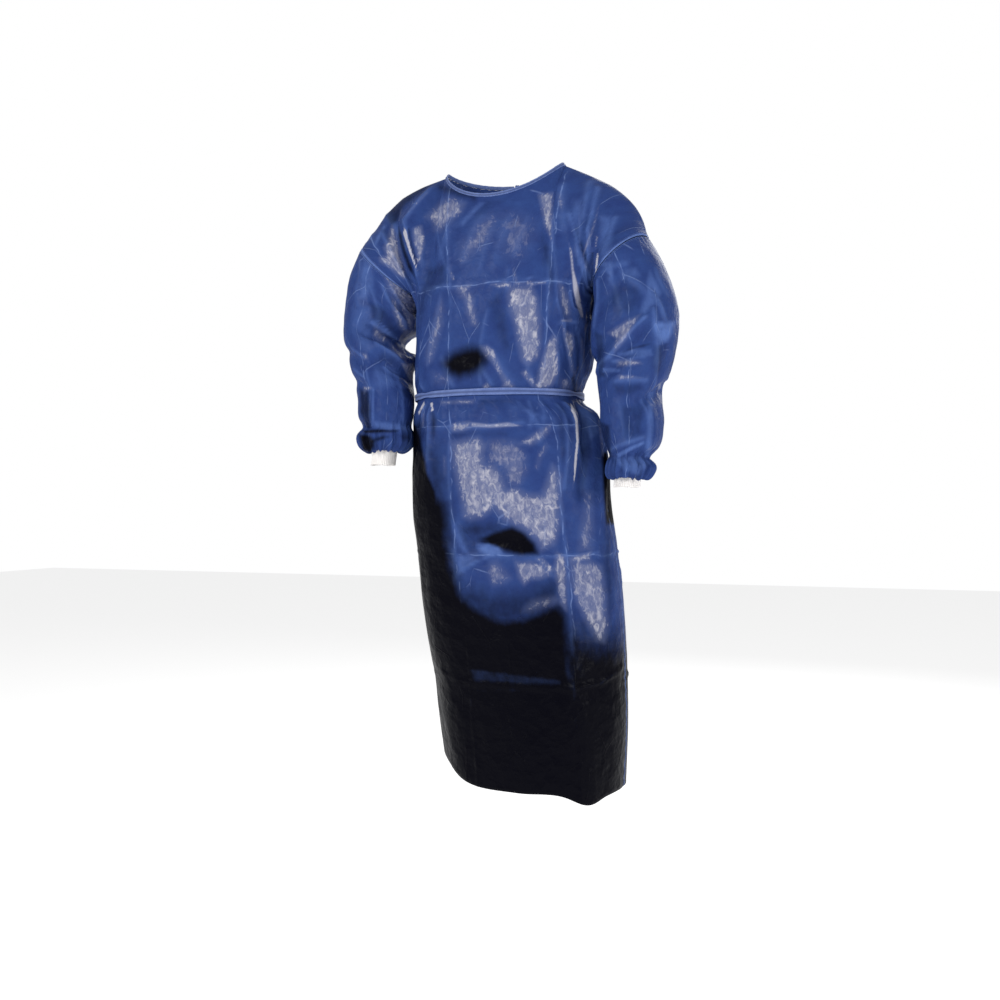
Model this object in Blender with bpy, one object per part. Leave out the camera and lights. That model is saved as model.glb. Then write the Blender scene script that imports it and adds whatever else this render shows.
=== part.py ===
"""A visitor gown of thin blue nonwoven cloth, filled out as it is worn, with no wearer.

Metres, +Z up. The wearer would face -Y, and +X is the wearer's left. The origin is midway between
the two points where the neck meets the shoulder lines, and the wearer's shoulders hold the gown there.

The front and the two backs are walls laid on one body surface, and each sleeve is a wall laid on a
sleeve surface that starts on the body's armhole. Both are worked out from the tables of sections.
A place on the body surface has two coordinates:
  around  0 at the centre front, 1 at the left side seam, 2 at the centre back, negative to the right
  level   0 at the hem, 1 at the underarm, 2 at the neck edge and the shoulder line
"""

from collections import namedtuple

import bmesh
import bpy
import numpy as np

# Cloth
CLOTH = 0.0015
SEAM_GAP = 0.0003
TIE_THICKNESS = 0.0015
LAP_LIFT = 0.0035

# Body
LENGTH = 1.217
UNDERARM = -0.245
CHEST_DIP = 0.050
WAIST = -0.452
NECK_HALF_WIDTH = 0.125
NECK_AROUND = 0.42
FRONT_NECK_Y = -0.085
FRONT_NECK_DROP = 0.070
BACK_NECK_Y = 0.072
BACK_NECK_DROP = 0.018
ARMHOLE_HALF_DEPTH = 0.094
ARMHOLE_PULL = 0.20
QUARTER = 0.27

# Small pieces
BINDING_HEIGHT = 0.008
BINDING_THICKNESS = 0.0026
BINDING_END_TURN = 3.092
BELT_HEIGHT = 0.013
BELT_CLEARANCE = 0.0020
BELT_BAND = 0.016
BELT_END_AROUND = 1.9685
TIE_WIDTH = 0.012
CUFF_WALL = 0.0020
CUFF_RIBS = 20
CUFF_RIB_HEIGHT = 0.0006
SLEEVE_GATHERS = 17
LONG_SLEEVE_SPAN = 0.03
SET_IN = 0.02
GATHER_HEIGHT = 0.0030
STEP = 0.002
REACH = 0.03
JUST_BEHIND = 1.000001

Ring = namedtuple("Ring", "height centre_x centre_y half_width front back squareness")
BODY_RINGS = (
    Ring(-1.217, 0.066, -0.010, 0.178, 0.150, 0.135, 2.30),
    Ring(-1.056, 0.055, -0.006, 0.192, 0.146, 0.134, 2.30),
    Ring(-0.856, 0.035, -0.002, 0.201, 0.142, 0.132, 2.30),
    Ring(-0.656, 0.011, 0.002, 0.201, 0.136, 0.128, 2.25),
    Ring(-0.530, 0.003, 0.004, 0.195, 0.130, 0.120, 2.20),
    Ring(-0.492, -0.004, 0.004, 0.186, 0.125, 0.115, 2.20),
    Ring(-0.468, -0.013, 0.004, 0.171, 0.1175, 0.1065, 2.20),
    Ring(-0.452, -0.015, 0.004, 0.170, 0.117, 0.106, 2.20),
    Ring(-0.436, -0.014, 0.004, 0.171, 0.118, 0.1065, 2.20),
    Ring(-0.400, -0.008, 0.004, 0.179, 0.130, 0.112, 2.20),
    Ring(-0.330, -0.005, 0.004, 0.182, 0.134, 0.114, 2.20),
    Ring(-0.245, 0.000, 0.006, 0.185, 0.128, 0.116, 2.15),
)

# The height of the hem around the body, lowest at the left front
Hem = namedtuple("Hem", "around height")
HEM = (
    Hem(-2.00, -1.180),
    Hem(-1.50, -1.165),
    Hem(-1.10, -1.150),
    Hem(-0.78, -1.147),
    Hem(-0.62, -1.160),
    Hem(-0.48, -1.174),
    Hem(-0.35, -1.187),
    Hem(0.05, -1.197),
    Hem(0.35, -1.201),
    Hem(0.50, -1.217),
    Hem(0.70, -1.208),
    Hem(1.22, -1.204),
    Hem(1.60, -1.196),
    Hem(2.00, -1.180),
)

# How far past the centre back each back panel reaches, as around
FreeEdge = namedtuple("FreeEdge", "level past")
FREE_EDGE = (
    FreeEdge(0.00, 0.420),
    FreeEdge(0.80, 0.330),
    FreeEdge(1.40, 0.200),
    FreeEdge(1.84, 0.000),
    FreeEdge(2.00, -0.018),
)
LAP_PARTS = (1.86, 2.0)

# The shoulder line of each side, from the neck to the top of the armhole, as seen from the front
Shoulder = namedtuple("Shoulder", "share out drop")
SHOULDER_RIGHT = (
    Shoulder(0.00, 0.125, 0.000),
    Shoulder(0.27, 0.187, 0.018),
    Shoulder(0.45, 0.226, 0.035),
    Shoulder(0.58, 0.253, 0.053),
    Shoulder(0.70, 0.274, 0.073),
    Shoulder(0.81, 0.286, 0.092),
    Shoulder(0.91, 0.298, 0.112),
    Shoulder(1.00, 0.309, 0.134),
)
SHOULDER_LEFT = (
    Shoulder(0.00, 0.125, 0.000),
    Shoulder(0.25, 0.183, 0.028),
    Shoulder(0.45, 0.224, 0.052),
    Shoulder(0.58, 0.248, 0.073),
    Shoulder(0.72, 0.267, 0.096),
    Shoulder(0.86, 0.280, 0.122),
    Shoulder(1.00, 0.288, 0.152),
)

# Sleeve sections: the outer and inner edge as seen from the front, then the middle and half depth in Y.
# The first section is the armhole, and the last three turn the bloused end in and up to the cuff's seam.
Section = namedtuple("Section", "along outer_x outer_z inner_x inner_z middle_y half_depth squareness")
SLEEVE_RIGHT = (
    Section(0.000, 0.309, -0.134, 0.185, -0.245, 0.006, 0.094, 2.0),
    Section(0.060, 0.335, -0.190, 0.194, -0.272, 0.006, 0.090, 2.2),
    Section(0.120, 0.346, -0.252, 0.192, -0.310, 0.004, 0.084, 2.2),
    Section(0.148, 0.347, -0.284, 0.224, -0.334, 0.002, 0.080, 2.2),
    Section(0.176, 0.341, -0.320, 0.197, -0.358, -0.016, 0.077, 2.2),
    Section(0.220, 0.317, -0.382, 0.196, -0.398, -0.034, 0.070, 2.2),
    Section(0.270, 0.296, -0.448, 0.187, -0.448, -0.046, 0.062, 2.2),
    Section(0.310, 0.287, -0.490, 0.183, -0.490, -0.060, 0.056, 2.2),
    Section(0.334, 0.276, -0.512, 0.184, -0.511, -0.066, 0.049, 2.0),
    Section(0.352, 0.287, -0.528, 0.180, -0.526, -0.067, 0.053, 2.0),
    Section(0.372, 0.283, -0.547, 0.183, -0.546, -0.067, 0.049, 2.0),
    Section(0.388, 0.270, -0.558, 0.198, -0.558, -0.0675, 0.0390, 2.0),
    Section(0.400, 0.2610, -0.5555, 0.2070, -0.5555, -0.0675, 0.0325, 2.0),
    Section(0.414, 0.2606, -0.5430, 0.2074, -0.5430, -0.0675, 0.0321, 2.0),
)
SLEEVE_LEFT = (
    Section(0.000, 0.288, -0.152, 0.185, -0.245, 0.006, 0.094, 2.0),
    Section(0.060, 0.321, -0.208, 0.191, -0.280, -0.006, 0.092, 2.2),
    Section(0.125, 0.347, -0.280, 0.187, -0.330, -0.018, 0.090, 2.2),
    Section(0.180, 0.352, -0.336, 0.189, -0.372, -0.026, 0.086, 2.2),
    Section(0.240, 0.342, -0.400, 0.202, -0.424, -0.034, 0.078, 2.2),
    Section(0.290, 0.325, -0.464, 0.210, -0.470, -0.044, 0.069, 2.2),
    Section(0.345, 0.331, -0.515, 0.216, -0.520, -0.058, 0.062, 2.2),
    Section(0.385, 0.325, -0.556, 0.228, -0.556, -0.069, 0.056, 2.2),
    Section(0.410, 0.306, -0.580, 0.238, -0.577, -0.076, 0.048, 2.0),
    Section(0.424, 0.318, -0.594, 0.234, -0.588, -0.080, 0.052, 2.0),
    Section(0.440, 0.314, -0.608, 0.232, -0.604, -0.0825, 0.0490, 2.0),
    Section(0.456, 0.306, -0.6165, 0.2355, -0.6145, -0.0830, 0.0395, 2.0),
    Section(0.468, 0.2970, -0.6130, 0.2430, -0.6130, -0.0830, 0.0325, 2.0),
    Section(0.482, 0.2966, -0.6000, 0.2434, -0.6000, -0.0830, 0.0321, 2.0),
)

# Knitted cuffs: the middle of each end, and its half width and half depth
CuffEnd = namedtuple("CuffEnd", "x y z half_width half_depth")
CUFF_RIGHT = (
    CuffEnd(-0.2340, -0.0675, -0.5405, 0.0255, 0.0310),
    CuffEnd(-0.2345, -0.0680, -0.5640, 0.0252, 0.0305),
    CuffEnd(-0.2365, -0.0700, -0.5860, 0.0235, 0.0285),
)
CUFF_LEFT = (
    CuffEnd(0.2700, -0.0830, -0.5975, 0.0255, 0.0310),
    CuffEnd(0.2700, -0.0840, -0.6180, 0.0252, 0.0305),
    CuffEnd(0.2695, -0.0860, -0.6320, 0.0245, 0.0295),
)

# Folds on the body: both ends as around and height, then how wide the fold is and how far it stands
# out of the surface, or lies in it where the depth is negative
Fold = namedtuple("Fold", "name from_around from_height to_around to_height width depth")
BODY_FOLDS = (
    Fold("right shoulder ridge, upper", -0.49, -0.035, -0.64, -0.103, 0.014, 0.006),
    Fold("right shoulder ridge, lower", -0.64, -0.103, -0.56, -0.210, 0.014, 0.007),
    Fold("right shoulder trough", -0.80, -0.070, -0.72, -0.225, 0.026, -0.016),
    Fold("right chest hollow", -0.46, -0.080, -0.44, -0.200, 0.022, -0.006),
    Fold("right armpit to waist", -0.84, -0.250, -0.66, -0.410, 0.026, -0.010),
    Fold("right waist ridge", -0.63, -0.385, -0.52, -0.440, 0.010, 0.005),
    Fold("left V ridge, upper", 0.62, -0.065, 0.71, -0.150, 0.016, 0.007),
    Fold("left V ridge, lower", 0.71, -0.150, 0.92, -0.245, 0.016, 0.008),
    Fold("left V inner ridge", 0.50, -0.110, 0.69, -0.205, 0.014, 0.005),
    Fold("left V trough", 0.82, -0.090, 0.90, -0.215, 0.022, -0.015),
    Fold("left chest trough", 0.60, -0.150, 0.74, -0.235, 0.016, -0.008),
    Fold("left side crease", 0.56, -0.321, 1.13, -0.305, 0.012, 0.004),
    Fold("left chest inner trough", 0.62, -0.260, 0.68, -0.420, 0.018, -0.008),
    Fold("left side drape", 0.92, -0.270, 0.86, -0.420, 0.022, -0.008),
    Fold("centre chest crease", 0.05, -0.300, 0.01, -0.430, 0.012, 0.003),
    Fold("hollow over the belt", -0.27, -0.382, 0.00, -0.385, 0.022, -0.006),
    Fold("left skirt gap, upper", 0.78, -0.480, 0.70, -0.550, 0.013, -0.014),
    Fold("left skirt gap, lower", 0.70, -0.550, 0.62, -0.640, 0.014, -0.011),
    Fold("left skirt ridge", 0.93, -0.485, 0.83, -0.640, 0.020, 0.008),
    Fold("left hip trough", 1.06, -0.485, 1.02, -0.680, 0.024, -0.008),
    Fold("right skirt pleat", -0.56, -0.480, -0.66, -0.560, 0.014, -0.009),
    Fold("right skirt ridge", -0.42, -0.480, -0.41, -0.590, 0.014, 0.005),
    Fold("right hip trough", -0.90, -0.485, -0.84, -0.640, 0.024, -0.009),
    Fold("thigh hollow", -0.08, -0.730, 0.28, -0.738, 0.024, -0.006),
    Fold("right knee pucker", -0.26, -0.770, -0.09, -0.805, 0.014, 0.004),
    Fold("left knee pucker", 0.43, -0.900, 0.42, -1.000, 0.012, 0.005),
    Fold("left hem corner", 0.46, -1.040, 0.50, -1.217, 0.030, 0.009),
    Fold("right hem bend", -0.62, -1.020, -0.56, -1.180, 0.040, -0.006),
    Fold("left back shoulder trough", 1.22, -0.090, 1.12, -0.230, 0.026, -0.014),
    Fold("right back shoulder trough", -1.24, -0.080, -1.11, -0.225, 0.026, -0.015),
    Fold("left back drape", 1.48, -0.080, 1.30, -0.390, 0.030, -0.008),
    Fold("right back drape", -1.44, -0.090, -1.30, -0.380, 0.032, -0.009),
    Fold("centre back drape", 1.86, -0.130, 1.94, -0.400, 0.034, 0.006),
    Fold("left back waist pleat", 1.30, -0.485, 1.37, -0.740, 0.020, -0.010),
    Fold("right back waist pleat", -1.33, -0.485, -1.40, -0.720, 0.022, -0.011),
    Fold("left back skirt ridge", 1.58, -0.540, 1.62, -1.190, 0.044, 0.007),
    Fold("right back skirt ridge", -1.56, -0.560, -1.60, -1.170, 0.044, 0.008),
)

# Folds on the sleeves: angle in degrees from the outer edge over the front, and distance along
SleeveFold = namedtuple("SleeveFold", "name from_angle from_along to_angle to_along width depth")
SLEEVE_RIGHT_FOLDS = (
    SleeveFold("crown trough", 60, 0.045, 120, 0.095, 0.022, -0.008),
    SleeveFold("elbow ridge, upper", 106, 0.130, 150, 0.142, 0.012, 0.006),
    SleeveFold("elbow trough, upper", 100, 0.152, 170, 0.172, 0.012, -0.008),
    SleeveFold("elbow ridge, lower", 112, 0.180, 146, 0.200, 0.013, 0.006),
    SleeveFold("forearm trough", 120, 0.212, 176, 0.238, 0.014, -0.008),
    SleeveFold("outer elbow nick", 20, 0.196, 76, 0.214, 0.010, -0.006),
    SleeveFold("outer elbow nick, lower", 10, 0.240, 72, 0.256, 0.010, -0.005),
    SleeveFold("forearm ridge", 90, 0.226, 82, 0.326, 0.012, 0.004),
    SleeveFold("back elbow trough", 200, 0.150, 290, 0.190, 0.022, -0.009),
    SleeveFold("back elbow ridge", 210, 0.185, 290, 0.220, 0.018, 0.006),
    SleeveFold("back forearm ridge", 250, 0.230, 280, 0.310, 0.018, 0.006),
)
SLEEVE_LEFT_FOLDS = (
    SleeveFold("crown trough", 70, 0.045, 120, 0.090, 0.022, -0.006),
    SleeveFold("elbow ridge, upper", 66, 0.160, 120, 0.216, 0.016, 0.007),
    SleeveFold("elbow trough, upper", 60, 0.192, 116, 0.246, 0.012, -0.007),
    SleeveFold("elbow ridge, lower", 60, 0.232, 108, 0.256, 0.012, 0.004),
    SleeveFold("inner elbow trough", 120, 0.180, 175, 0.215, 0.016, -0.007),
    SleeveFold("outer elbow nick", 350, 0.278, 40, 0.296, 0.013, -0.012),
    SleeveFold("rear edge ridge", 54, 0.145, 46, 0.240, 0.014, 0.005),
    SleeveFold("rear edge ridge, lower", 44, 0.300, 40, 0.380, 0.014, 0.005),
    SleeveFold("back elbow trough", 215, 0.200, 300, 0.250, 0.022, -0.009),
    SleeveFold("back elbow ridge", 210, 0.245, 290, 0.285, 0.018, 0.006),
    SleeveFold("back forearm ridge", 250, 0.290, 280, 0.370, 0.018, 0.006),
)

# Creases left by the packet that the gown was folded into
CREASE_HEIGHTS = (-1.000, -0.760, -0.515)
CREASE_AROUNDS = (-1.62, -0.93, -0.24, 0.45, 1.14, 1.83)
PILLOW = 0.0035

# The knots at the centre back, each with two hanging ends
Knot = namedtuple("Knot", "name x y z width depth height tail")
KNOTS = (
    Knot("belt", -0.0150, 0.1191, -0.4550, 0.0160, 0.0100, 0.0190, 0.280),
    Knot("neck", 0.0000, 0.0738, -0.0120, 0.0110, 0.0100, 0.0110, 0.150),
)
TAIL_LIFTS = (0.0016, 0.0035)

Finish = namedtuple("Finish", "name colour roughness")
CLOTH_FINISH = Finish("blue_nonwoven", (0.034, 0.062, 0.205), 0.46)
BINDING_FINISH = Finish("blue_binding", (0.062, 0.113, 0.300), 0.50)
CUFF_FINISH = Finish("white_rib_knit", (0.82, 0.81, 0.79), 0.90)


def ramp(value, start, end):
    """0 before start, 1 after end, and a smooth rise between them."""
    share = np.clip((value - start) / (end - start), 0.0, 1.0)
    return share * share * (3.0 - 2.0 * share)


def through(rows, key, column, at):
    """A smooth curve through one column of a table, read at a value of its key column."""
    keys = np.array([getattr(row, key) for row in rows])
    values = np.array([getattr(row, column) for row in rows])
    slopes = np.gradient(values, keys)
    at = np.clip(at, keys[0], keys[-1])
    index = np.clip(np.searchsorted(keys, at, side="right") - 1, 0, len(keys) - 2)
    span = keys[index + 1] - keys[index]
    t = (at - keys[index]) / span
    rise = values[index + 1] - values[index]
    start_bend = slopes[index] * span - rise
    end_bend = rise - slopes[index + 1] * span
    return values[index] + rise * t + t * (1 - t) * ((1 - t) * start_bend + t * end_bend)


def roundness(sine, cosine, squareness):
    """How far a section's point lies out, as a share of an ellipse's, for a squarer section."""
    return (np.abs(sine) ** squareness + np.abs(cosine) ** squareness) ** (-1.0 / squareness)


def wrapped(around):
    """around between -2 and 2, for a lap that passes the centre back."""
    return (around + 2.0) % 4.0 - 2.0


def ring_point(around, height):
    """The body's section at a height, at or below the underarm."""
    angle = around * np.pi / 2
    sine, cosine = np.sin(angle), np.cos(angle)
    reach = roundness(sine, cosine, through(BODY_RINGS, "height", "squareness", height))
    depth = np.where(
        cosine > 0,
        through(BODY_RINGS, "height", "front", height),
        through(BODY_RINGS, "height", "back", height),
    )
    x = through(BODY_RINGS, "height", "centre_x", height)
    x = x + through(BODY_RINGS, "height", "half_width", height) * sine * reach
    y = through(BODY_RINGS, "height", "centre_y", height) - depth * cosine * reach
    return x, y


def neck_point(turn):
    """The neck edge. turn is 0 at the centre front, pi / 2 at the left shoulder, pi at the centre back."""
    sine, cosine = np.sin(turn), np.cos(turn)
    x = NECK_HALF_WIDTH * sine
    y = np.where(cosine > 0, FRONT_NECK_Y, -BACK_NECK_Y) * cosine
    drop = np.where(cosine > 0, FRONT_NECK_DROP, BACK_NECK_DROP)
    return x, y, -drop * np.abs(cosine) ** 1.5


def top_point(around):
    """The body's upper edge: the neck edge and, beside it, the shoulder line down to the armhole."""
    side, away = np.sign(around), np.abs(around)
    from_front = np.minimum(away, 2.0 - away)
    turn = np.clip(from_front / NECK_AROUND, 0, 1) * np.pi / 2
    neck_x, neck_y, neck_z = neck_point(np.where(away > 1, np.pi - turn, turn))
    share = np.clip((from_front - NECK_AROUND) / (1 - NECK_AROUND), 0, 1)
    out = np.where(
        side > 0,
        through(SHOULDER_LEFT, "share", "out", share),
        through(SHOULDER_RIGHT, "share", "out", share),
    )
    drop = np.where(
        side > 0,
        through(SHOULDER_LEFT, "share", "drop", share),
        through(SHOULDER_RIGHT, "share", "drop", share),
    )
    on_neck = from_front < NECK_AROUND
    x = np.where(on_neck, neck_x * side, side * out)
    return x, np.where(on_neck, neck_y, 0.006 * share), np.where(on_neck, neck_z, -drop)


def level_of(height):
    """The level that lies at a height, below the underarm."""
    return (height + LENGTH) / (UNDERARM + LENGTH)


def body_base(around, level):
    """A point of the body surface before its folds."""
    around = wrapped(around)
    low = np.clip(level, 0, 1)
    from_front = np.minimum(np.abs(around), 2 - np.abs(around))
    dip = CHEST_DIP * ramp(1 - from_front, 0.0, 0.30) * ramp(low, level_of(WAIST + BELT_BAND), 1.0)
    height = -LENGTH + (LENGTH + UNDERARM) * low - dip
    x, y = ring_point(around, height)
    z = height + (through(HEM, "around", "height", around) + LENGTH) * (1 - low) ** 2
    share = (1 - np.cos(np.pi * np.clip(level - 1, 0, 1))) / 2
    top_x, top_y, top_z = top_point(around)
    on_shoulder = ramp(from_front, 0.25, 0.62)
    bend = 1.6 + 0.4 * on_shoulder
    fall = (1 - share**bend) ** (0.9 - 0.4 * on_shoulder)
    front_or_back = np.where(np.abs(around) > 1, 1.0, -1.0)
    armhole = 2 * ARMHOLE_HALF_DEPTH * np.sqrt(np.maximum(share * (1 - share), 0))
    lag = 2.0 - 0.65 * ramp(share, 0.0, 0.5)
    arm = front_or_back * armhole * np.clip((from_front - 0.5) / 0.5, 0, 1) ** lag
    from_side, climbed = 1 - from_front, np.clip(level - 1, 0, 1)
    pull = ARMHOLE_PULL * from_side * np.exp(-((from_side / 0.25) ** 2)) * np.sin(np.pi * climbed) ** 0.7
    upper = level > 1
    return np.stack(
        [
            np.where(upper, x + (top_x - x) * share - np.sign(around) * pull, x),
            np.where(upper, top_y + (y - top_y) * fall + arm, y),
            np.where(upper, z + (top_z - z) * share, z),
        ],
        axis=-1,
    )


def unit(vectors):
    """Vectors of length 1."""
    return vectors / np.linalg.norm(vectors, axis=-1, keepdims=True)


def body_normals(around, level):
    """Outward normals of the body surface, each read on its own side of the armhole."""
    behind, at_left, open_side = np.abs(around) > 1, around > 0, level > 1
    before, after = around - REACH, around + REACH
    before = np.where(open_side & ~behind, np.maximum(before, -1.0), before)
    after = np.where(open_side & ~behind, np.minimum(after, 1.0), after)
    before = np.where(open_side & behind & at_left, np.maximum(before, JUST_BEHIND), before)
    after = np.where(open_side & behind & ~at_left, np.minimum(after, -JUST_BEHIND), after)
    across = body_base(after, level) - body_base(before, level)
    further = STEP * np.where(level > 0.5, -1.0, 1.0)
    up = (body_base(around, level + further) - body_base(around, level)) / further[..., None]
    found = unit(np.cross(across, up))
    from_corner = np.minimum(np.abs(around), 2 - np.abs(around)) - NECK_AROUND
    at_corner = (ramp(level, 1.60, 1.95) * np.exp(-((from_corner / 0.20) ** 2)))[..., None]
    sideways = 0.3 * np.where(at_left, 1.0, -1.0)
    over_shoulder = np.stack([sideways, 0.0 * sideways, 0.95 + 0.0 * sideways], axis=-1)
    return unit(found * (1 - at_corner) + over_shoulder * at_corner)


def kept_back(directions, across_seam):
    """Wall directions that don't carry the inner side of a wall over a seam it ends at."""
    over = np.minimum(np.sum(directions * across_seam, axis=-1), 0.0)
    return unit(directions - over[..., None] * across_seam)


def fold_relief(sideways, upwards, length_along, width, depth):
    """The height of one fold: a soft ridge or trough that dies away at its ends."""
    past_end = np.maximum(np.maximum(-upwards, upwards - length_along), 0.0)
    return depth * np.exp(-((sideways / width) ** 2) - (past_end / (1.5 * width)) ** 2)


def body_relief(around, level, height):
    """How far the folds and the pillows between the packet's creases stand out of the body."""
    around = wrapped(around)
    relief = np.zeros_like(height)
    for fold in BODY_FOLDS:
        start = np.array([fold.from_around * QUARTER, fold.from_height])
        run = np.array([fold.to_around * QUARTER, fold.to_height]) - start
        length = np.linalg.norm(run)
        run = run / length
        dx, dz = around * QUARTER - start[0], height - start[1]
        upwards = dx * run[0] + dz * run[1]
        sideways = dx * run[1] - dz * run[0]
        relief = relief + fold_relief(sideways, upwards, length, fold.width, fold.depth)
    stops = [-LENGTH, *CREASE_HEIGHTS, UNDERARM]
    cell = np.interp(height, stops, range(len(stops)))
    sides = [CREASE_AROUNDS[-1] - 4, *CREASE_AROUNDS, CREASE_AROUNDS[0] + 4]
    column = np.interp(around, sides, range(len(sides)))
    pillow = np.abs(np.sin(cell * np.pi)) ** 0.7 * np.abs(np.sin(column * np.pi)) ** 0.7
    relief = relief + PILLOW * pillow * (height < UNDERARM)
    relief = relief * ramp(np.abs(height - WAIST), BELT_BAND, 3 * BELT_BAND)
    from_front = np.minimum(np.abs(around), 2 - np.abs(around))
    low_armhole = ramp(level, 0.86, 1.0) * (1 - 0.8 * ramp(level, 1.25, 1.5))
    near_armhole = np.maximum(ramp(from_front, 0.60, 0.80) * low_armhole, ramp(from_front, 0.88, 1.0))
    near_armhole = near_armhole * ramp(level, 0.86, 1.0)
    return relief * (1 - ramp(level, 1.72, 2.0)) * (1 - near_armhole)


def body_points(around, level, lift=0.0):
    """Points on the finished body surface, lifted off it by a distance."""
    base = body_base(around, level)
    relief = body_relief(around, level, base[..., 2]) + lift
    return base + body_normals(around, level) * relief[..., None]


def spaced(*stops_and_counts):
    """Values between stops: start, count, stop, count, stop and so on, each stop given once."""
    values = [np.array([stops_and_counts[0]])]
    for start, count, stop in zip(
        stops_and_counts[:-2:2], stops_and_counts[1::2], stops_and_counts[2::2]
    ):
        values.append(np.linspace(start, stop, count + 1)[1:])
    return np.concatenate(values)


def panel_levels():
    """The rows of a body panel, with one on each of the packet's creases and one at the belt."""
    low, middle, high = (level_of(h) for h in CREASE_HEIGHTS)
    under_belt, over_belt = level_of(WAIST - BELT_BAND), level_of(WAIST + BELT_BAND)
    below = spaced(0.0, 4, low, 4, middle, 4, high, 2, under_belt, 2, over_belt, 5, 1.0)
    return np.concatenate([below, np.linspace(1, 2, 9)[1:]])


def finish_of(finish):
    """The Principled material of a finish, made once."""
    material = bpy.data.materials.get(finish.name)
    if material is None:
        material = bpy.data.materials.new(finish.name)
        material.use_nodes = True
        shader = material.node_tree.nodes["Principled BSDF"]
        shader.inputs["Base Color"].default_value = (*finish.colour, 1.0)
        shader.inputs["Roughness"].default_value = finish.roughness
    return material


def add_object(name, points, faces, finish):
    """One named object with its material, its place in its mesh."""
    mesh = bpy.data.meshes.new(name)
    mesh.from_pydata([tuple(p) for p in points], [], [tuple(f) for f in faces])
    mesh.materials.append(finish_of(finish))
    mesh.shade_smooth()
    made = bpy.data.objects.new(name, mesh)
    bpy.context.scene.collection.objects.link(made)
    return made


def grid_faces(rows, columns, closed, offset, flipped):
    """Triangles of a grid whose points are numbered row by row, split alike on both sides of a wall."""
    faces = []
    for row in range(rows - 1):
        for column in range(columns if closed else columns - 1):
            right = (column + 1) % columns
            low_left = offset + row * columns + column
            low_right = offset + row * columns + right
            high_right, high_left = low_right + columns, low_left + columns
            for triangle in ([low_left, low_right, high_right], [low_left, high_right, high_left]):
                faces.append(triangle[::-1] if flipped else triangle)
    return faces


def rim_faces(outer, inner, closed):
    """Quads that join a line of outer points to the same line of inner points."""
    count = len(outer)
    faces = []
    for i in range(count if closed else count - 1):
        j = (i + 1) % count
        faces.append([outer[j], outer[i], inner[i], inner[j]])
    return faces


def add_wall(name, outer, inner, finish, closed=False):
    """A cloth wall between two grids of points. A closed one is a tube, open at both ends."""
    rows, columns = outer.shape[:2]
    count = rows * columns
    faces = grid_faces(rows, columns, closed, 0, False)
    faces += grid_faces(rows, columns, closed, count, True)
    index = np.arange(count).reshape(rows, columns)
    edges = [index[0], index[-1][::-1]]
    if not closed:
        edges += [index[:, -1], index[::-1, 0]]
    for edge in edges:
        faces += rim_faces(list(edge), [i + count for i in edge], closed)
    points = np.concatenate([outer.reshape(-1, 3), inner.reshape(-1, 3)])
    return add_object(name, points, faces, finish)


def armhole_axis(sections, side):
    """The direction in which a sleeve leaves its armhole, square to the armhole."""
    first = sections[0]
    rise = np.array([first.outer_x - first.inner_x, first.outer_z - first.inner_z])
    return unit(np.array([side * rise[1], 0.0, -rise[0]]))


def add_panel(name, around, level, lift, front_or_back):
    """A body panel. Its inner side stays on its own side of the armholes and the shoulder seams."""
    outer = body_points(around, level, lift)
    directions = body_normals(around, level)
    on_shoulder = np.minimum(np.abs(around), 2 - np.abs(around)) >= NECK_AROUND
    at_top = ((level == 2.0) & on_shoulder)[..., None]
    over_seam = np.array([0.0, -front_or_back, 0.0])
    outer = outer - at_top * over_seam * SEAM_GAP / 2
    directions = np.where(at_top, kept_back(directions, over_seam), directions)
    for sections, side in ((SLEEVE_LEFT, 1), (SLEEVE_RIGHT, -1)):
        from_seam = np.abs(around - side)
        at_armhole = ((level > 1.0) & (from_seam <= SEAM_GAP / QUARTER))[..., None]
        axis = armhole_axis(sections, side)
        directions = np.where(at_armhole, kept_back(directions, axis), directions)
    add_wall(name, outer, outer - directions * CLOTH, CLOTH_FINISH)


def add_front():
    """The front, from side seam to side seam, with its neck edge and the fronts of both armholes."""
    edge = 1 - SEAM_GAP / 2 / QUARTER
    side_fold = NECK_AROUND + 0.16
    left = spaced(-CREASE_AROUNDS[2], 4, NECK_AROUND, 3, side_fold, 7, edge)
    middle = spaced(CREASE_AROUNDS[2], 8, -CREASE_AROUNDS[2])[1:-1]
    arounds = np.concatenate([-left[::-1], middle, left])
    around, level = np.meshgrid(arounds, panel_levels())
    add_panel("front", around, level, 0.0, -1)


def back_grid(side):
    """around and level of a back panel's points, from the side seam to its free edge."""
    levels = panel_levels()
    start, shoulder = 1 + SEAM_GAP / 2 / QUARTER, 2 - NECK_AROUND
    free = 2 + through(FREE_EDGE, "level", "past", levels)[:, None]
    to_shoulder = np.linspace(start, shoulder, 8)[None, :] + np.zeros_like(free)
    to_edge = shoulder + (free - shoulder) * np.linspace(0, 1, 11)[None, 1:]
    around = np.concatenate([to_shoulder, to_edge], axis=1)
    level = np.repeat(levels[:, None], around.shape[1], axis=1)
    if side < 0:
        around = -around[:, ::-1]
    return around, level


def lap_lift(around, level, side):
    """The left back lies outside the right one where they lap, and they part at the neck's knot."""
    return side * LAP_LIFT * ramp(np.abs(around), 1.40, 1.80) * (1 - ramp(level, *LAP_PARTS))


def add_backs():
    """The two backs, which lap at the centre back, the left one outside."""
    for name, side in (("back_left", 1), ("back_right", -1)):
        around, level = back_grid(side)
        add_panel(name, around, level, lap_lift(around, level, side), 1)


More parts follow.
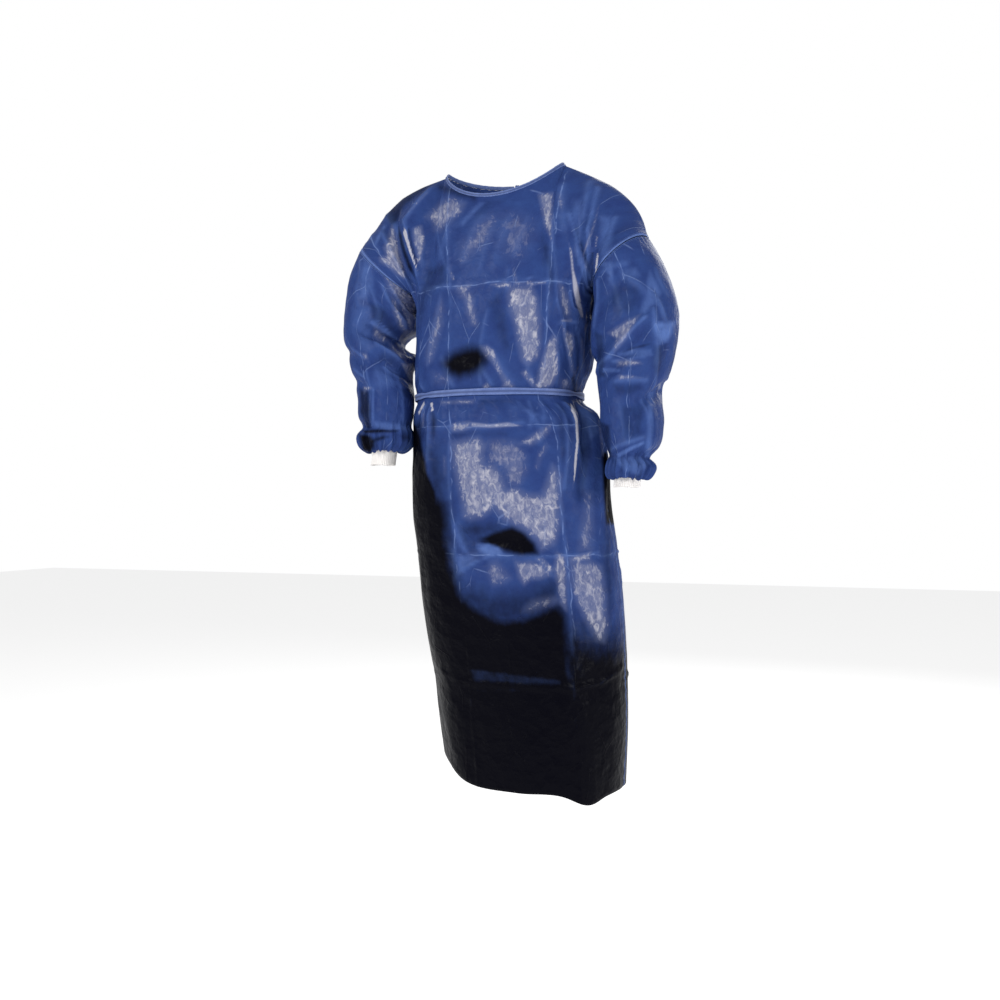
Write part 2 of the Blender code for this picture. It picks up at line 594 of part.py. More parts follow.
def sleeve_base(sections, side, angle, along):
    """A point of a sleeve before its folds. angle is 0 at the outer edge and pi / 2 at the front."""
    read = {
        column: through(sections, "along", column, along)
        for column in Section._fields[1:]
    }
    sine, cosine = np.sin(angle), np.cos(angle)
    reach = roundness(sine, cosine, read["squareness"])
    middle_x = (read["outer_x"] + read["inner_x"]) / 2
    middle_z = (read["outer_z"] + read["inner_z"]) / 2
    x = middle_x + (read["outer_x"] - read["inner_x"]) / 2 * cosine * reach
    z = middle_z + (read["outer_z"] - read["inner_z"]) / 2 * cosine * reach
    y = read["middle_y"] - read["half_depth"] * sine * reach
    return np.stack([side * x, y, z], axis=-1)


def sleeve_relief(folds, sections, angle, along):
    """The folds of a sleeve, and the gathers at its cuff."""
    relief = np.zeros_like(along)
    radius = through(sections, "along", "half_depth", along)
    for fold in folds:
        start_angle, end_angle = np.radians(fold.from_angle), np.radians(fold.to_angle)
        turn = (end_angle - start_angle + np.pi) % (2 * np.pi) - np.pi
        from_start = (angle - start_angle - turn / 2 + np.pi) % (2 * np.pi) - np.pi + turn / 2
        run = np.array([turn * 0.08, fold.to_along - fold.from_along])
        length = np.linalg.norm(run)
        run = run / length
        dx, dz = from_start * np.maximum(radius, 0.05), along - fold.from_along
        upwards = dx * run[0] + dz * run[1]
        sideways = dx * run[1] - dz * run[0]
        relief = relief + fold_relief(sideways, upwards, length, fold.width, fold.depth)
    length = sections[-1].along
    relief = relief * ramp(along, 0.0, 0.03) * (1 - ramp(along, length - 0.10, length - 0.06))
    rise, fall = (0.100, 0.060), (0.044, 0.016)
    gathered = ramp(length - along, *rise) - ramp(length - along, *fall)
    return relief + GATHER_HEIGHT * gathered * np.cos(SLEEVE_GATHERS * angle)


def sleeve_normals(sections, side, angle, along):
    """Outward normals of a sleeve before its folds."""
    here = sleeve_base(sections, side, angle, along)
    further = STEP * np.where(along > sections[-1].along / 2, -1.0, 1.0)
    round_edge = sleeve_base(sections, side, angle + STEP, along) - here
    along_edge = sleeve_base(sections, side, angle, along + further) - here
    return side * unit(np.cross(round_edge, along_edge / further[..., None]))


def add_sleeve(name, sections, folds, side):
    """A sleeve, from the armhole to the cuff's seam, bloused over it."""
    columns = 2 * SLEEVE_GATHERS
    stops = np.array([section.along for section in sections])
    long_spans = np.diff(stops) > LONG_SLEEVE_SPAN
    alongs = np.sort(np.concatenate([stops, (stops[:-1] + stops[1:])[long_spans] / 2]))
    alongs[0] = 2 * SEAM_GAP
    angles = np.arange(columns) * 2 * np.pi / columns
    angle, along = np.meshgrid(angles[::-side], alongs[::-1])
    base = sleeve_base(sections, side, angle, along)
    base[-1] += (base[-1].mean(axis=0) - base[-1]) * SET_IN
    relief = sleeve_relief(folds, sections, angle, along)
    directions = sleeve_normals(sections, side, angle, along)
    outer = base + directions * relief[..., None]
    directions[-1] = kept_back(directions[-1], -armhole_axis(sections, side))
    add_wall(name, outer, outer - directions * CLOTH, CLOTH_FINISH, closed=True)


def add_cuff(name, ends):
    """A knitted cuff: ribs raised outside a plain inner wall."""
    columns = 2 * CUFF_RIBS
    angles = np.arange(columns) * 2 * np.pi / columns
    rib = CUFF_RIB_HEIGHT * np.cos(CUFF_RIBS * angles)
    outer, inner = [], []
    for end in reversed(ends):
        for rows, wall in ((outer, rib), (inner, -CUFF_WALL)):
            x = end.x + (end.half_width + wall) * np.cos(angles)
            y = end.y + (end.half_depth + wall) * np.sin(angles)
            rows.append(np.stack([x, y, np.full(columns, end.z)], axis=-1))
    add_wall(name, np.array(outer), np.array(inner), CUFF_FINISH, closed=True)


def neck_lean(turn):
    """The direction in which the binding stands up from the neck edge: upright, leaning inwards."""
    inward = 0.20 + 0.30 * np.sin(turn) ** 2
    up = np.sqrt(1 - inward**2)
    return np.stack([-inward * np.sin(turn), inward * np.cos(turn), up], axis=-1)


def add_binding():
    """The folded strip that binds the neck edge, an open loop that ends at the knot behind."""
    turn = np.linspace(-BINDING_END_TURN, BINDING_END_TURN, 73)
    line = np.stack(neck_point(turn), axis=-1)
    up = neck_lean(turn)
    out = unit(np.cross(np.gradient(line, axis=0), up))
    outer_side = (BINDING_THICKNESS - CLOTH) / 2
    inner_side = outer_side - BINDING_THICKNESS
    low, high = 3 * SEAM_GAP, BINDING_HEIGHT
    corners = ((low, outer_side), (high, outer_side), (high, inner_side), (low, inner_side))
    add_strip("neck_binding", [line + up * rise + out * side for rise, side in corners], BINDING_FINISH)


def add_strip(name, corner_lines, finish):
    """A closed strip of four corner lines, capped at both ends."""
    count = len(corner_lines[0])
    points = np.concatenate(corner_lines)
    sides = len(corner_lines)
    faces = []
    for side in range(sides):
        near, far = side * count, (side + 1) % sides * count
        for i in range(count - 1):
            faces.append([near + i, near + i + 1, far + i + 1, far + i])
    faces.append([side * count for side in range(sides)])
    faces.append([side * count + count - 1 for side in reversed(range(sides))])
    made = add_object(name, points, faces, finish)
    shape = bmesh.new()
    shape.from_mesh(made.data)
    bmesh.ops.recalc_face_normals(shape, faces=shape.faces)
    shape.to_mesh(made.data)
    shape.free()


def waist_rise(around):
    """The belt's height: it rides a little higher at the front than at the sides."""
    return WAIST + 0.003 * np.cos(around * np.pi / 2)


def add_belt():
    """The waist tie round the gown, its two ends at the knot behind."""
    arounds = np.linspace(-BELT_END_AROUND, BELT_END_AROUND, 73)
    rows = waist_rise(arounds)[None, :] + BELT_HEIGHT / 2 * np.array([-1.0, 1.0])[:, None]
    around = np.repeat(arounds[None, :], 2, axis=0)
    behind = LAP_LIFT * ramp(np.abs(around), 1.30, 1.60)
    level = level_of(rows)
    base = body_base(around, level)
    out = body_normals(around, level) * np.array([1.0, 1.0, 0.0])
    out = unit(out)
    widest = np.max(body_relief(around, level, rows), axis=0)
    reach = behind + np.maximum(widest, 0)[None, :] + BELT_CLEARANCE
    middle = base.mean(axis=0)[None, :, :2]
    base = np.concatenate([np.repeat(middle, 2, axis=0), rows[..., None]], axis=-1)
    inner = base + out * reach[..., None]
    outer = inner + out * TIE_THICKNESS
    add_strip("belt", [outer[0], outer[1], inner[1], inner[0]], BINDING_FINISH)


def add_knot(name, centre, size):
    """A flat knot, as a block with rounded edges."""
    shape = bmesh.new()
    bmesh.ops.create_cube(shape, size=1.0)
    bmesh.ops.scale(shape, vec=size, verts=shape.verts)
    bmesh.ops.bevel(
        shape, geom=shape.edges[:], offset=0.3 * min(size), segments=2, profile=0.6, affect="EDGES"
    )
    bmesh.ops.translate(shape, vec=centre, verts=shape.verts)
    mesh = bpy.data.meshes.new(name)
    shape.to_mesh(mesh)
    shape.free()
    mesh.materials.append(finish_of(BINDING_FINISH))
    mesh.shade_smooth()
    bpy.context.scene.collection.objects.link(bpy.data.objects.new(name, mesh))


def height_scale(around):
    """Heights of the body surface and the levels they lie at, for one place around it."""
    levels = np.linspace(0.0, 2.0, 201)
    heights = body_base(np.full_like(levels, around), levels)[:, 2]
    return heights, levels


def add_tail(name, start_around, end_around, levels, top, lift):
    """One hanging end of a tie: a flat strip just off the outside of both backs, under its knot."""
    middle = np.linspace(end_around, start_around, len(levels))
    half = TIE_WIDTH / 2 / QUARTER
    around = middle[:, None] + np.array([-half, 0.0, half])[None, :]
    level = np.repeat(levels[:, None], 3, axis=1)
    inner = body_points(around, level, lift + LAP_LIFT * (1 - ramp(level, *LAP_PARTS)))
    outer = inner + body_normals(around, level) * TIE_THICKNESS
    for side in (inner, outer):
        side[-1, :, 2] = top
    add_wall(name, outer, inner, BINDING_FINISH)


def add_ties():
    """The knots and hanging ends of the belt and of the neck's binding, all at the centre back."""
    for knot in KNOTS:
        add_knot(knot.name + "_knot", (knot.x, knot.y, knot.z), (knot.width, knot.depth, knot.height))
        top = knot.z - knot.height / 2 - SEAM_GAP
        levels = np.interp(np.linspace(top - knot.tail, top, 13), *height_scale(2.0))
        near, far = TAIL_LIFTS
        add_tail(knot.name + "_tail_left", 2.012, 2.045, levels, top, near)
        add_tail(knot.name + "_tail_right", 1.988, 1.960, levels, top, far)


def clear_scene():
    """Removes whatever the scene starts with."""
    for existing in list(bpy.data.objects):
        bpy.data.objects.remove(existing)


def main():
    clear_scene()
    add_front()
    add_backs()
    add_sleeve("sleeve_right", SLEEVE_RIGHT, SLEEVE_RIGHT_FOLDS, -1)
    add_sleeve("sleeve_left", SLEEVE_LEFT, SLEEVE_LEFT_FOLDS, 1)
    add_cuff("cuff_right", CUFF_RIGHT)
    add_cuff("cuff_left", CUFF_LEFT)
    add_binding()
    add_belt()
    add_ties()


main()
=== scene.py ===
"""The finished look of a visitor gown of thin blue nonwoven cloth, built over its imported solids.

Metres, +Z up. The front faces -Y and +X is the wearer's left. Each piece is a thin shell laid on the
surface of its own solid, with the finer creases added. A place on the body surface has two coordinates:
  around  0 at the centre front, 1 at the left side seam, 2 at the centre back, negative to the right
  level   0 at the hem, 1 at the underarm, 2 at the neck edge and the shoulder line
"""

from collections import namedtuple

import bmesh
import bpy
import numpy as np
from bpy.props import FloatProperty, FloatVectorProperty, IntProperty, PointerProperty
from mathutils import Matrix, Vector, noise


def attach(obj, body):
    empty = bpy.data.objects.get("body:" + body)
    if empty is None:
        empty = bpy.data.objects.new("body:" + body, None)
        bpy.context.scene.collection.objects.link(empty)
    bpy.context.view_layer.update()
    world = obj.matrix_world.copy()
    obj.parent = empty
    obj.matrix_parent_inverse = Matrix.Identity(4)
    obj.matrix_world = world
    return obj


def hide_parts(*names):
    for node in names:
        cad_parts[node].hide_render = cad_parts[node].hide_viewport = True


bl_info = {
    "name": "Visitor gown",
    "version": (1, 0, 0),
    "blender": (4, 5, 0),
    "location": "View3D > Sidebar > Gown",
    "description": "Makes the cloth, knitted cuffs, binding and ties of a visitor gown",
    "category": "Object",
}

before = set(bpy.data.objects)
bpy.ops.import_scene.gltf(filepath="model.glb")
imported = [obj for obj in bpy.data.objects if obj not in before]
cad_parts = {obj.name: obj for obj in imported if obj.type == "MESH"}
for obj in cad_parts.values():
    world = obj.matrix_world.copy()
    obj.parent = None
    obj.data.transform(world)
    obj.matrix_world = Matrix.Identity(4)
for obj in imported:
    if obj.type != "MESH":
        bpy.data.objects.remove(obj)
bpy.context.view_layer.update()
MM = 0.001
DEGREE = np.pi / 180


def rows(kind, units, *values):
    """The rows of a table with their columns named, and brought to metres and radians."""
    return [kind(*(value * unit for value, unit in zip(row, units))) for row in values]


def patches(*values):
    """Patches whose outlines are given as corners, x and y by turns."""
    return [Patch(strength, soft, np.array(line, float).reshape(-1, 2)) for strength, soft, line in values]


# The surfaces that the solids are laid on
SEAM_GAP = 0.0003
TIE_THICKNESS = 0.0015
LAP_LIFT = 0.0035
LENGTH = 1.217
UNDERARM = -0.245
CHEST_DIP = 0.050
WAIST = -0.452
NECK_HALF_WIDTH = 0.125
NECK_AROUND = 0.42
FRONT_NECK_Y = -0.085
FRONT_NECK_DROP = 0.070
BACK_NECK_Y = 0.072
BACK_NECK_DROP = 0.018
ARMHOLE_HALF_DEPTH = 0.094
ARMHOLE_PULL = 0.20
QUARTER = 0.27
BINDING_HEIGHT = 0.008
BINDING_THICKNESS = 0.0026
BINDING_END_TURN = 3.092
BELT_HEIGHT = 0.013
BELT_CLEARANCE = 0.0020
BELT_BAND = 0.016
BELT_END_AROUND = 1.9685
TIE_WIDTH = 0.012
SLEEVE_GATHERS = 17
SET_IN = 0.02
GATHER_HEIGHT = 0.0030
STEP = 0.002
REACH = 0.03
JUST_BEHIND = 1.000001

Ring = namedtuple("Ring", "height centre_x centre_y half_width front back squareness")
BODY_RINGS = rows(Ring, (MM, MM, MM, MM, MM, MM, 1),
    (-1217, 66, -10, 178, 150, 135, 2.3),
    (-1056, 55, -6, 192, 146, 134, 2.3),
    (-856, 35, -2, 201, 142, 132, 2.3),
    (-656, 11, 2, 201, 136, 128, 2.25),
    (-530, 3, 4, 195, 130, 120, 2.2),
    (-492, -4, 4, 186, 125, 115, 2.2),
    (-468, -13, 4, 171, 117.5, 106.5, 2.2),
    (-452, -15, 4, 170, 117, 106, 2.2),
    (-436, -14, 4, 171, 118, 106.5, 2.2),
    (-400, -8, 4, 179, 130, 112, 2.2),
    (-330, -5, 4, 182, 134, 114, 2.2),
    (-245, 0, 6, 185, 128, 116, 2.15),
)

# The height of the hem around the body, lowest at the left front
Hem = namedtuple("Hem", "around height")
HEM = rows(Hem, (1, MM),
    (-2, -1180),
    (-1.5, -1165),
    (-1.1, -1150),
    (-0.78, -1147),
    (-0.62, -1160),
    (-0.48, -1174),
    (-0.35, -1187),
    (0.05, -1197),
    (0.35, -1201),
    (0.5, -1217),
    (0.7, -1208),
    (1.22, -1204),
    (1.6, -1196),
    (2, -1180),
)

# How far past the centre back each back panel reaches, as around
FreeEdge = namedtuple("FreeEdge", "level past")
FREE_EDGE = rows(FreeEdge, (1, 1),
    (0, 0.42),
    (0.8, 0.33),
    (1.4, 0.2),
    (1.84, 0),
    (2, -0.018),
)
LAP_PARTS = (1.86, 2.0)

# The shoulder line of each side, from the neck to the top of the armhole, as seen from the front
Shoulder = namedtuple("Shoulder", "share out drop")
SHOULDER_RIGHT = rows(Shoulder, (1, MM, MM),
    (0, 125, 0),
    (0.27, 187, 18),
    (0.45, 226, 35),
    (0.58, 253, 53),
    (0.7, 274, 73),
    (0.81, 286, 92),
    (0.91, 298, 112),
    (1, 309, 134),
)
SHOULDER_LEFT = rows(Shoulder, (1, MM, MM),
    (0, 125, 0),
    (0.25, 183, 28),
    (0.45, 224, 52),
    (0.58, 248, 73),
    (0.72, 267, 96),
    (0.86, 280, 122),
    (1, 288, 152),
)

# Sleeve sections: the outer and inner edge as seen from the front, then the middle and half depth in Y.
# The first section is the armhole, and the last three turn the bloused end in and up to the cuff's seam.
Section = namedtuple("Section", "along outer_x outer_z inner_x inner_z middle_y half_depth squareness")
SLEEVE_RIGHT = rows(Section, (MM, MM, MM, MM, MM, MM, MM, 1),
    (0, 309, -134, 185, -245, 6, 94, 2),
    (60, 335, -190, 194, -272, 6, 90, 2.2),
    (120, 346, -252, 192, -310, 4, 84, 2.2),
    (148, 347, -284, 224, -334, 2, 80, 2.2),
    (176, 341, -320, 197, -358, -16, 77, 2.2),
    (220, 317, -382, 196, -398, -34, 70, 2.2),
    (270, 296, -448, 187, -448, -46, 62, 2.2),
    (310, 287, -490, 183, -490, -60, 56, 2.2),
    (334, 276, -512, 184, -511, -66, 49, 2),
    (352, 287, -528, 180, -526, -67, 53, 2),
    (372, 283, -547, 183, -546, -67, 49, 2),
    (388, 270, -558, 198, -558, -67.5, 39, 2),
    (400, 261, -555.5, 207, -555.5, -67.5, 32.5, 2),
    (414, 260.6, -543, 207.4, -543, -67.5, 32.1, 2),
)
SLEEVE_LEFT = rows(Section, (MM, MM, MM, MM, MM, MM, MM, 1),
    (0, 288, -152, 185, -245, 6, 94, 2),
    (60, 321, -208, 191, -280, -6, 92, 2.2),
    (125, 347, -280, 187, -330, -18, 90, 2.2),
    (180, 352, -336, 189, -372, -26, 86, 2.2),
    (240, 342, -400, 202, -424, -34, 78, 2.2),
    (290, 325, -464, 210, -470, -44, 69, 2.2),
    (345, 331, -515, 216, -520, -58, 62, 2.2),
    (385, 325, -556, 228, -556, -69, 56, 2.2),
    (410, 306, -580, 238, -577, -76, 48, 2),
    (424, 318, -594, 234, -588, -80, 52, 2),
    (440, 314, -608, 232, -604, -82.5, 49, 2),
    (456, 306, -616.5, 235.5, -614.5, -83, 39.5, 2),
    (468, 297, -613, 243, -613, -83, 32.5, 2),
    (482, 296.6, -600, 243.4, -600, -83, 32.1, 2),
)

# Knitted cuffs: the middle of each end, and its half width and half depth
CuffEnd = namedtuple("CuffEnd", "x y z half_width half_depth")
CUFF_RIGHT = rows(CuffEnd, (MM, MM, MM, MM, MM),
    (-234, -67.5, -540.5, 25.5, 31),
    (-234.5, -68, -564, 25.2, 30.5),
    (-236.5, -70, -586, 23.5, 28.5),
)
CUFF_LEFT = rows(CuffEnd, (MM, MM, MM, MM, MM),
    (270, -83, -597.5, 25.5, 31),
    (270, -84, -618, 25.2, 30.5),
    (269.5, -86, -632, 24.5, 29.5),
)

# Folds on the body: both ends as around and height, then how wide the fold is and how far it stands
# out of the surface, or lies in it where the depth is negative
Fold = namedtuple("Fold", "from_around from_height to_around to_height width depth")
BODY_FOLDS = rows(Fold, (1, MM, 1, MM, MM, MM),
    (-0.49, -35, -0.64, -103, 14, 6),
    (-0.64, -103, -0.56, -210, 14, 7),
    (-0.8, -70, -0.72, -225, 26, -16),
    (-0.46, -80, -0.44, -200, 22, -6),
    (-0.84, -250, -0.66, -410, 26, -10),
    (-0.63, -385, -0.52, -440, 10, 5),
    (0.62, -65, 0.71, -150, 16, 7),
    (0.71, -150, 0.92, -245, 16, 8),
    (0.5, -110, 0.69, -205, 14, 5),
    (0.82, -90, 0.9, -215, 22, -15),
    (0.6, -150, 0.74, -235, 16, -8),
    (0.56, -321, 1.13, -305, 12, 4),
    (0.62, -260, 0.68, -420, 18, -8),
    (0.92, -270, 0.86, -420, 22, -8),
    (0.05, -300, 0.01, -430, 12, 3),
    (-0.27, -382, 0, -385, 22, -6),
    (0.78, -480, 0.7, -550, 13, -14),
    (0.7, -550, 0.62, -640, 14, -11),
    (0.93, -485, 0.83, -640, 20, 8),
    (1.06, -485, 1.02, -680, 24, -8),
    (-0.56, -480, -0.66, -560, 14, -9),
    (-0.42, -480, -0.41, -590, 14, 5),
    (-0.9, -485, -0.84, -640, 24, -9),
    (-0.08, -730, 0.28, -738, 24, -6),
    (-0.26, -770, -0.09, -805, 14, 4),
    (0.43, -900, 0.42, -1000, 12, 5),
    (0.46, -1040, 0.5, -1217, 30, 9),
    (-0.62, -1020, -0.56, -1180, 40, -6),
    (1.22, -90, 1.12, -230, 26, -14),
    (-1.24, -80, -1.11, -225, 26, -15),
    (1.48, -80, 1.3, -390, 30, -8),
    (-1.44, -90, -1.3, -380, 32, -9),
    (1.86, -130, 1.94, -400, 34, 6),
    (1.3, -485, 1.37, -740, 20, -10),
    (-1.33, -485, -1.4, -720, 22, -11),
    (1.58, -540, 1.62, -1190, 44, 7),
    (-1.56, -560, -1.6, -1170, 44, 8),
)

# Folds on the sleeves: angle in degrees from the outer edge over the front, and distance along
SleeveFold = namedtuple("SleeveFold", "from_angle from_along to_angle to_along width depth")
SLEEVE_RIGHT_FOLDS = rows(SleeveFold, (DEGREE, MM, DEGREE, MM, MM, MM),
    (60, 45, 120, 95, 22, -8),
    (106, 130, 150, 142, 12, 6),
    (100, 152, 170, 172, 12, -8),
    (112, 180, 146, 200, 13, 6),
    (120, 212, 176, 238, 14, -8),
    (20, 196, 76, 214, 10, -6),
    (10, 240, 72, 256, 10, -5),
    (90, 226, 82, 326, 12, 4),
    (200, 150, 290, 190, 22, -9),
    (210, 185, 290, 220, 18, 6),
    (250, 230, 280, 310, 18, 6),
)
SLEEVE_LEFT_FOLDS = rows(SleeveFold, (DEGREE, MM, DEGREE, MM, MM, MM),
    (70, 45, 120, 90, 22, -6),
    (66, 160, 120, 216, 16, 7),
    (60, 192, 116, 246, 12, -7),
    (60, 232, 108, 256, 12, 4),
    (120, 180, 175, 215, 16, -7),
    (350, 278, 40, 296, 13, -12),
    (54, 145, 46, 240, 14, 5),
    (44, 300, 40, 380, 14, 5),
    (215, 200, 300, 250, 22, -9),
    (210, 245, 290, 285, 18, 6),
    (250, 290, 280, 370, 18, 6),
)

# Creases left by the packet that the gown was folded into
CREASE_HEIGHTS = (-1.000, -0.760, -0.515)
CREASE_AROUNDS = (-1.62, -0.93, -0.24, 0.45, 1.14, 1.83)
PILLOW = 0.0035

# The knots at the centre back, each with two hanging ends
Knot = namedtuple("Knot", "name x y z width depth height tail")
BELT_KNOT = Knot("belt", -0.0150, 0.1191, -0.4550, 0.0160, 0.0100, 0.0190, 0.280)
NECK_KNOT = Knot("neck", 0.0000, 0.0738, -0.0120, 0.0110, 0.0100, 0.0110, 0.150)
TAIL_LIFTS = (0.0016, 0.0035)

# Fine creases on the body, both ends as around and height. Depth is positive for a ridge.
Crease = namedtuple("Crease", "from_around from_height to_around to_height width depth")
BODY_CREASES = rows(Crease, (1, MM, 1, MM, MM, MM),
    # Right shoulder and upper chest
    (-0.49, -30, -0.64, -103, 4, 2.6),
    (-0.64, -103, -0.62, -159, 4, 3.4),
    (-0.62, -159, -0.56, -208, 4, 3.6),
    (-0.67, -118, -0.6, -200, 6, -3),
    (-0.56, -120, -0.51, -190, 6, 1.6),
    (-0.8, -62, -0.7, -150, 6, 2.8),
    (-0.72, -80, -0.78, -215, 7, -2.6),
    (-0.86, -110, -0.8, -225, 5, 3),
    (-0.36, -60, -0.4, -130, 8, 1.6),
    (-0.38, -117, -0.24, -212, 3, 1.2),
    (-0.2, -98, -0.3, -175, 8, 1.2),
    (-0.04, -110, -0.12, -190, 6, 1),
    (0.1, -115, 0.06, -205, 6, 0.9),
    (0.02, -140, -0.02, -215, 4, 0.8),
    (0.2, -120, 0.17, -190, 5, 0.9),
    # Left shoulder and the V of folds beside the armhole
    (0.64, -65, 0.71, -150, 4, 3),
    (0.71, -150, 0.93, -246, 4, 3.6),
    (0.52, -114, 0.69, -205, 4, 2.4),
    (0.69, -205, 0.92, -243, 4, 2.6),
    (0.83, -117, 0.93, -191, 4, 3.2),
    (0.76, -130, 0.8, -205, 5, -3.2),
    (0.58, -50, 0.62, -120, 6, 2),
    (0.44, -55, 0.5, -140, 7, 1.4),
    (0.42, -120, 0.52, -278, 3, 1.4),
    (0.52, -278, 0.7, -397, 3, 1.4),
    (0.58, -184, 0.77, -301, 6, -2.2),
    (0.66, -265, 0.84, -340, 5, 2.2),
    (0.88, -255, 0.96, -360, 6, 2.6),
    # Chest and ribs
    (0.05, -301, 0, -383, 4, 1.4),
    (0, -383, 0.02, -441, 4, 1.6),
    (0.15, -222, 0.16, -258, 4, 1.4),
    (-0.56, -237, -0.1, -251, 3, 1.2),
    (0.03, -242, 0.3, -238, 3, 1.5),
    (0.3, -238, 0.62, -243, 3, 1),
    (0.56, -321, 1.1, -305, 4, 2.2),
    (0.62, -345, 0.98, -338, 6, -1.6),
    (0.6, -330, 0.74, -425, 5, 1.8),
    (0.86, -330, 0.8, -430, 5, 2.4),
    (-0.31, -262, -0.43, -390, 5, 1.2),
    (-0.65, -250, -0.7, -350, 7, 1.8),
    (-0.65, -359, -0.79, -424, 5, 2),
    (-0.63, -405, -0.52, -440, 4, 2.6),
    (0.06, -372, 0.24, -432, 6, 1.4),
    (0, -395, 0.1, -436, 4, 2),
    (0.32, -395, 0.4, -436, 5, 1.6),
    (-0.3, -385, -0.2, -436, 5, 1.4),
    (0.55, -380, 0.6, -436, 4, 2),
    # Upper skirt, under the belt
    (-0.24, -522, 0.25, -510, 4, 1.8),
    (-0.24, -541, 0.24, -537, 5, -1),
    (-0.5, -470, -0.58, -515, 4, 3),
    (-0.42, -471, -0.41, -578, 4, 2.2),
    (-0.6, -480, -0.66, -600, 6, -3),
    (0.28, -470, 0.36, -520, 4, 1.6),
    (0.36, -470, 0.3, -515, 4, 1.4),
    (0.44, -475, 0.34, -545, 4, 1.2),
    (0.22, -480, 0.4, -500, 4, 1.2),
    (0.57, -477, 0.48, -632, 4, 2.2),
    (0.66, -474, 0.6, -560, 5, 2.6),
    (0.94, -469, 0.88, -540, 5, 3.4),
    (0.88, -540, 0.84, -630, 5, 2.8),
    (0.78, -474, 0.72, -560, 4, -3.4),
    (1.04, -478, 1, -620, 6, 2.2),
    # Knees and the creases across the skirt
    (-0.24, -796, -0.04, -763, 3, 1.6),
    (-0.04, -763, 0.26, -763, 3, 1.8),
    (0.26, -763, 0.7, -754, 3, 1.6),
    (-0.3, -735, -0.2, -790, 4, 1.8),
    (-0.26, -800, -0.12, -772, 4, 2),
    (-0.24, -745, -0.27, -815, 4, 1.8),
    (-0.2, -700, -0.16, -755, 4, 1.2),
    (0.28, -768, 0.36, -800, 3, 1.4),
    (-0.52, -989, -0.25, -999, 4, 1.8),
    (-0.25, -999, 0.42, -1003, 4, 2.4),
    (0.42, -1003, 0.66, -994, 4, 2.4),
    (0.66, -994, 0.9, -974, 4, 2.2),
    (0.43, -905, 0.43, -1000, 4, 2.6),
    (0.43, -990, 0.53, -930, 4, 2.2),
    (0.44, -992, 0.58, -966, 4, 1.8),
    (0.42, -990, 0.35, -935, 4, 1.8),
    (0.44, -1006, 0.5, -1060, 4, 1.8),
    (0.42, -1006, 0.36, -1050, 4, 1.6),
    (0.3, -1015, 0.4, -1110, 6, 1.4),
    (-0.16, -1030, 0.1, -1100, 10, 1),
    # Left back, from the shoulder down
    (1.2, -90, 1.12, -200, 4, 3),
    (1.28, -70, 1.24, -210, 5, 2.6),
    (1.4, -60, 1.34, -260, 6, 2.2),
    (1.52, -50, 1.6, -190, 7, 1.8),
    (1.14, -262, 1.3, -330, 5, 2.6),
    (1.18, -300, 1.1, -400, 6, 2.2),
    (1.48, -270, 1.4, -420, 6, 2),
    (1.66, -246, 1.1, -240, 3, 1.4),
    (1.7, -300, 1.76, -430, 6, 2),
    (1.24, -475, 1.3, -610, 5, 3),
    (1.44, -478, 1.5, -640, 5, 2.6),
    (1.62, -476, 1.58, -560, 5, 2.2),
    (1.8, -478, 1.84, -620, 5, 2.4),
    (1.15, -757, 1.7, -764, 3, 1.8),
    (1.7, -764, 1.96, -757, 3, 1.4),
    (1.1, -770, 1.2, -820, 4, 1.6),
    (1.12, -992, 1.6, -1003, 4, 2.2),
    (1.6, -1003, 1.98, -996, 4, 1.8),
    (1.83, -985, 1.72, -930, 4, 1.8),
    (1.84, -1010, 1.92, -1060, 4, 1.6),
    # Right back, from the shoulder down
    (-1.18, -80, -1.1, -205, 4, 3),
    (-1.3, -70, -1.22, -215, 5, 2.8),
    (-1.46, -55, -1.36, -250, 6, 2.2),
    (-1.6, -60, -1.66, -200, 7, 1.6),
    (-1.12, -262, -1.34, -350, 5, 2.6),
    (-1.2, -310, -1.12, -410, 6, 2.2),
    (-1.52, -280, -1.44, -425, 6, 1.8),
    (-1.7, -245, -1.08, -240, 3, 1.4),
    (-1.22, -476, -1.26, -590, 5, 3),
    (-1.4, -478, -1.48, -660, 5, 2.8),
    (-1.6, -476, -1.54, -550, 5, 2.2),
    (-1.78, -478, -1.8, -600, 5, 2.2),
    (-1.12, -762, -1.6, -757, 3, 1.8),
    (-1.6, -757, -1.94, -765, 3, 1.4),
    (-1.62, -770, -1.52, -820, 4, 1.6),
    (-1.08, -1001, -1.62, -994, 4, 2.2),
    (-1.62, -994, -1.98, -1004, 4, 1.8),
    (-1.62, -985, -1.52, -935, 4, 1.8),
    (-1.62, -1006, -1.72, -1055, 4, 1.6),
)

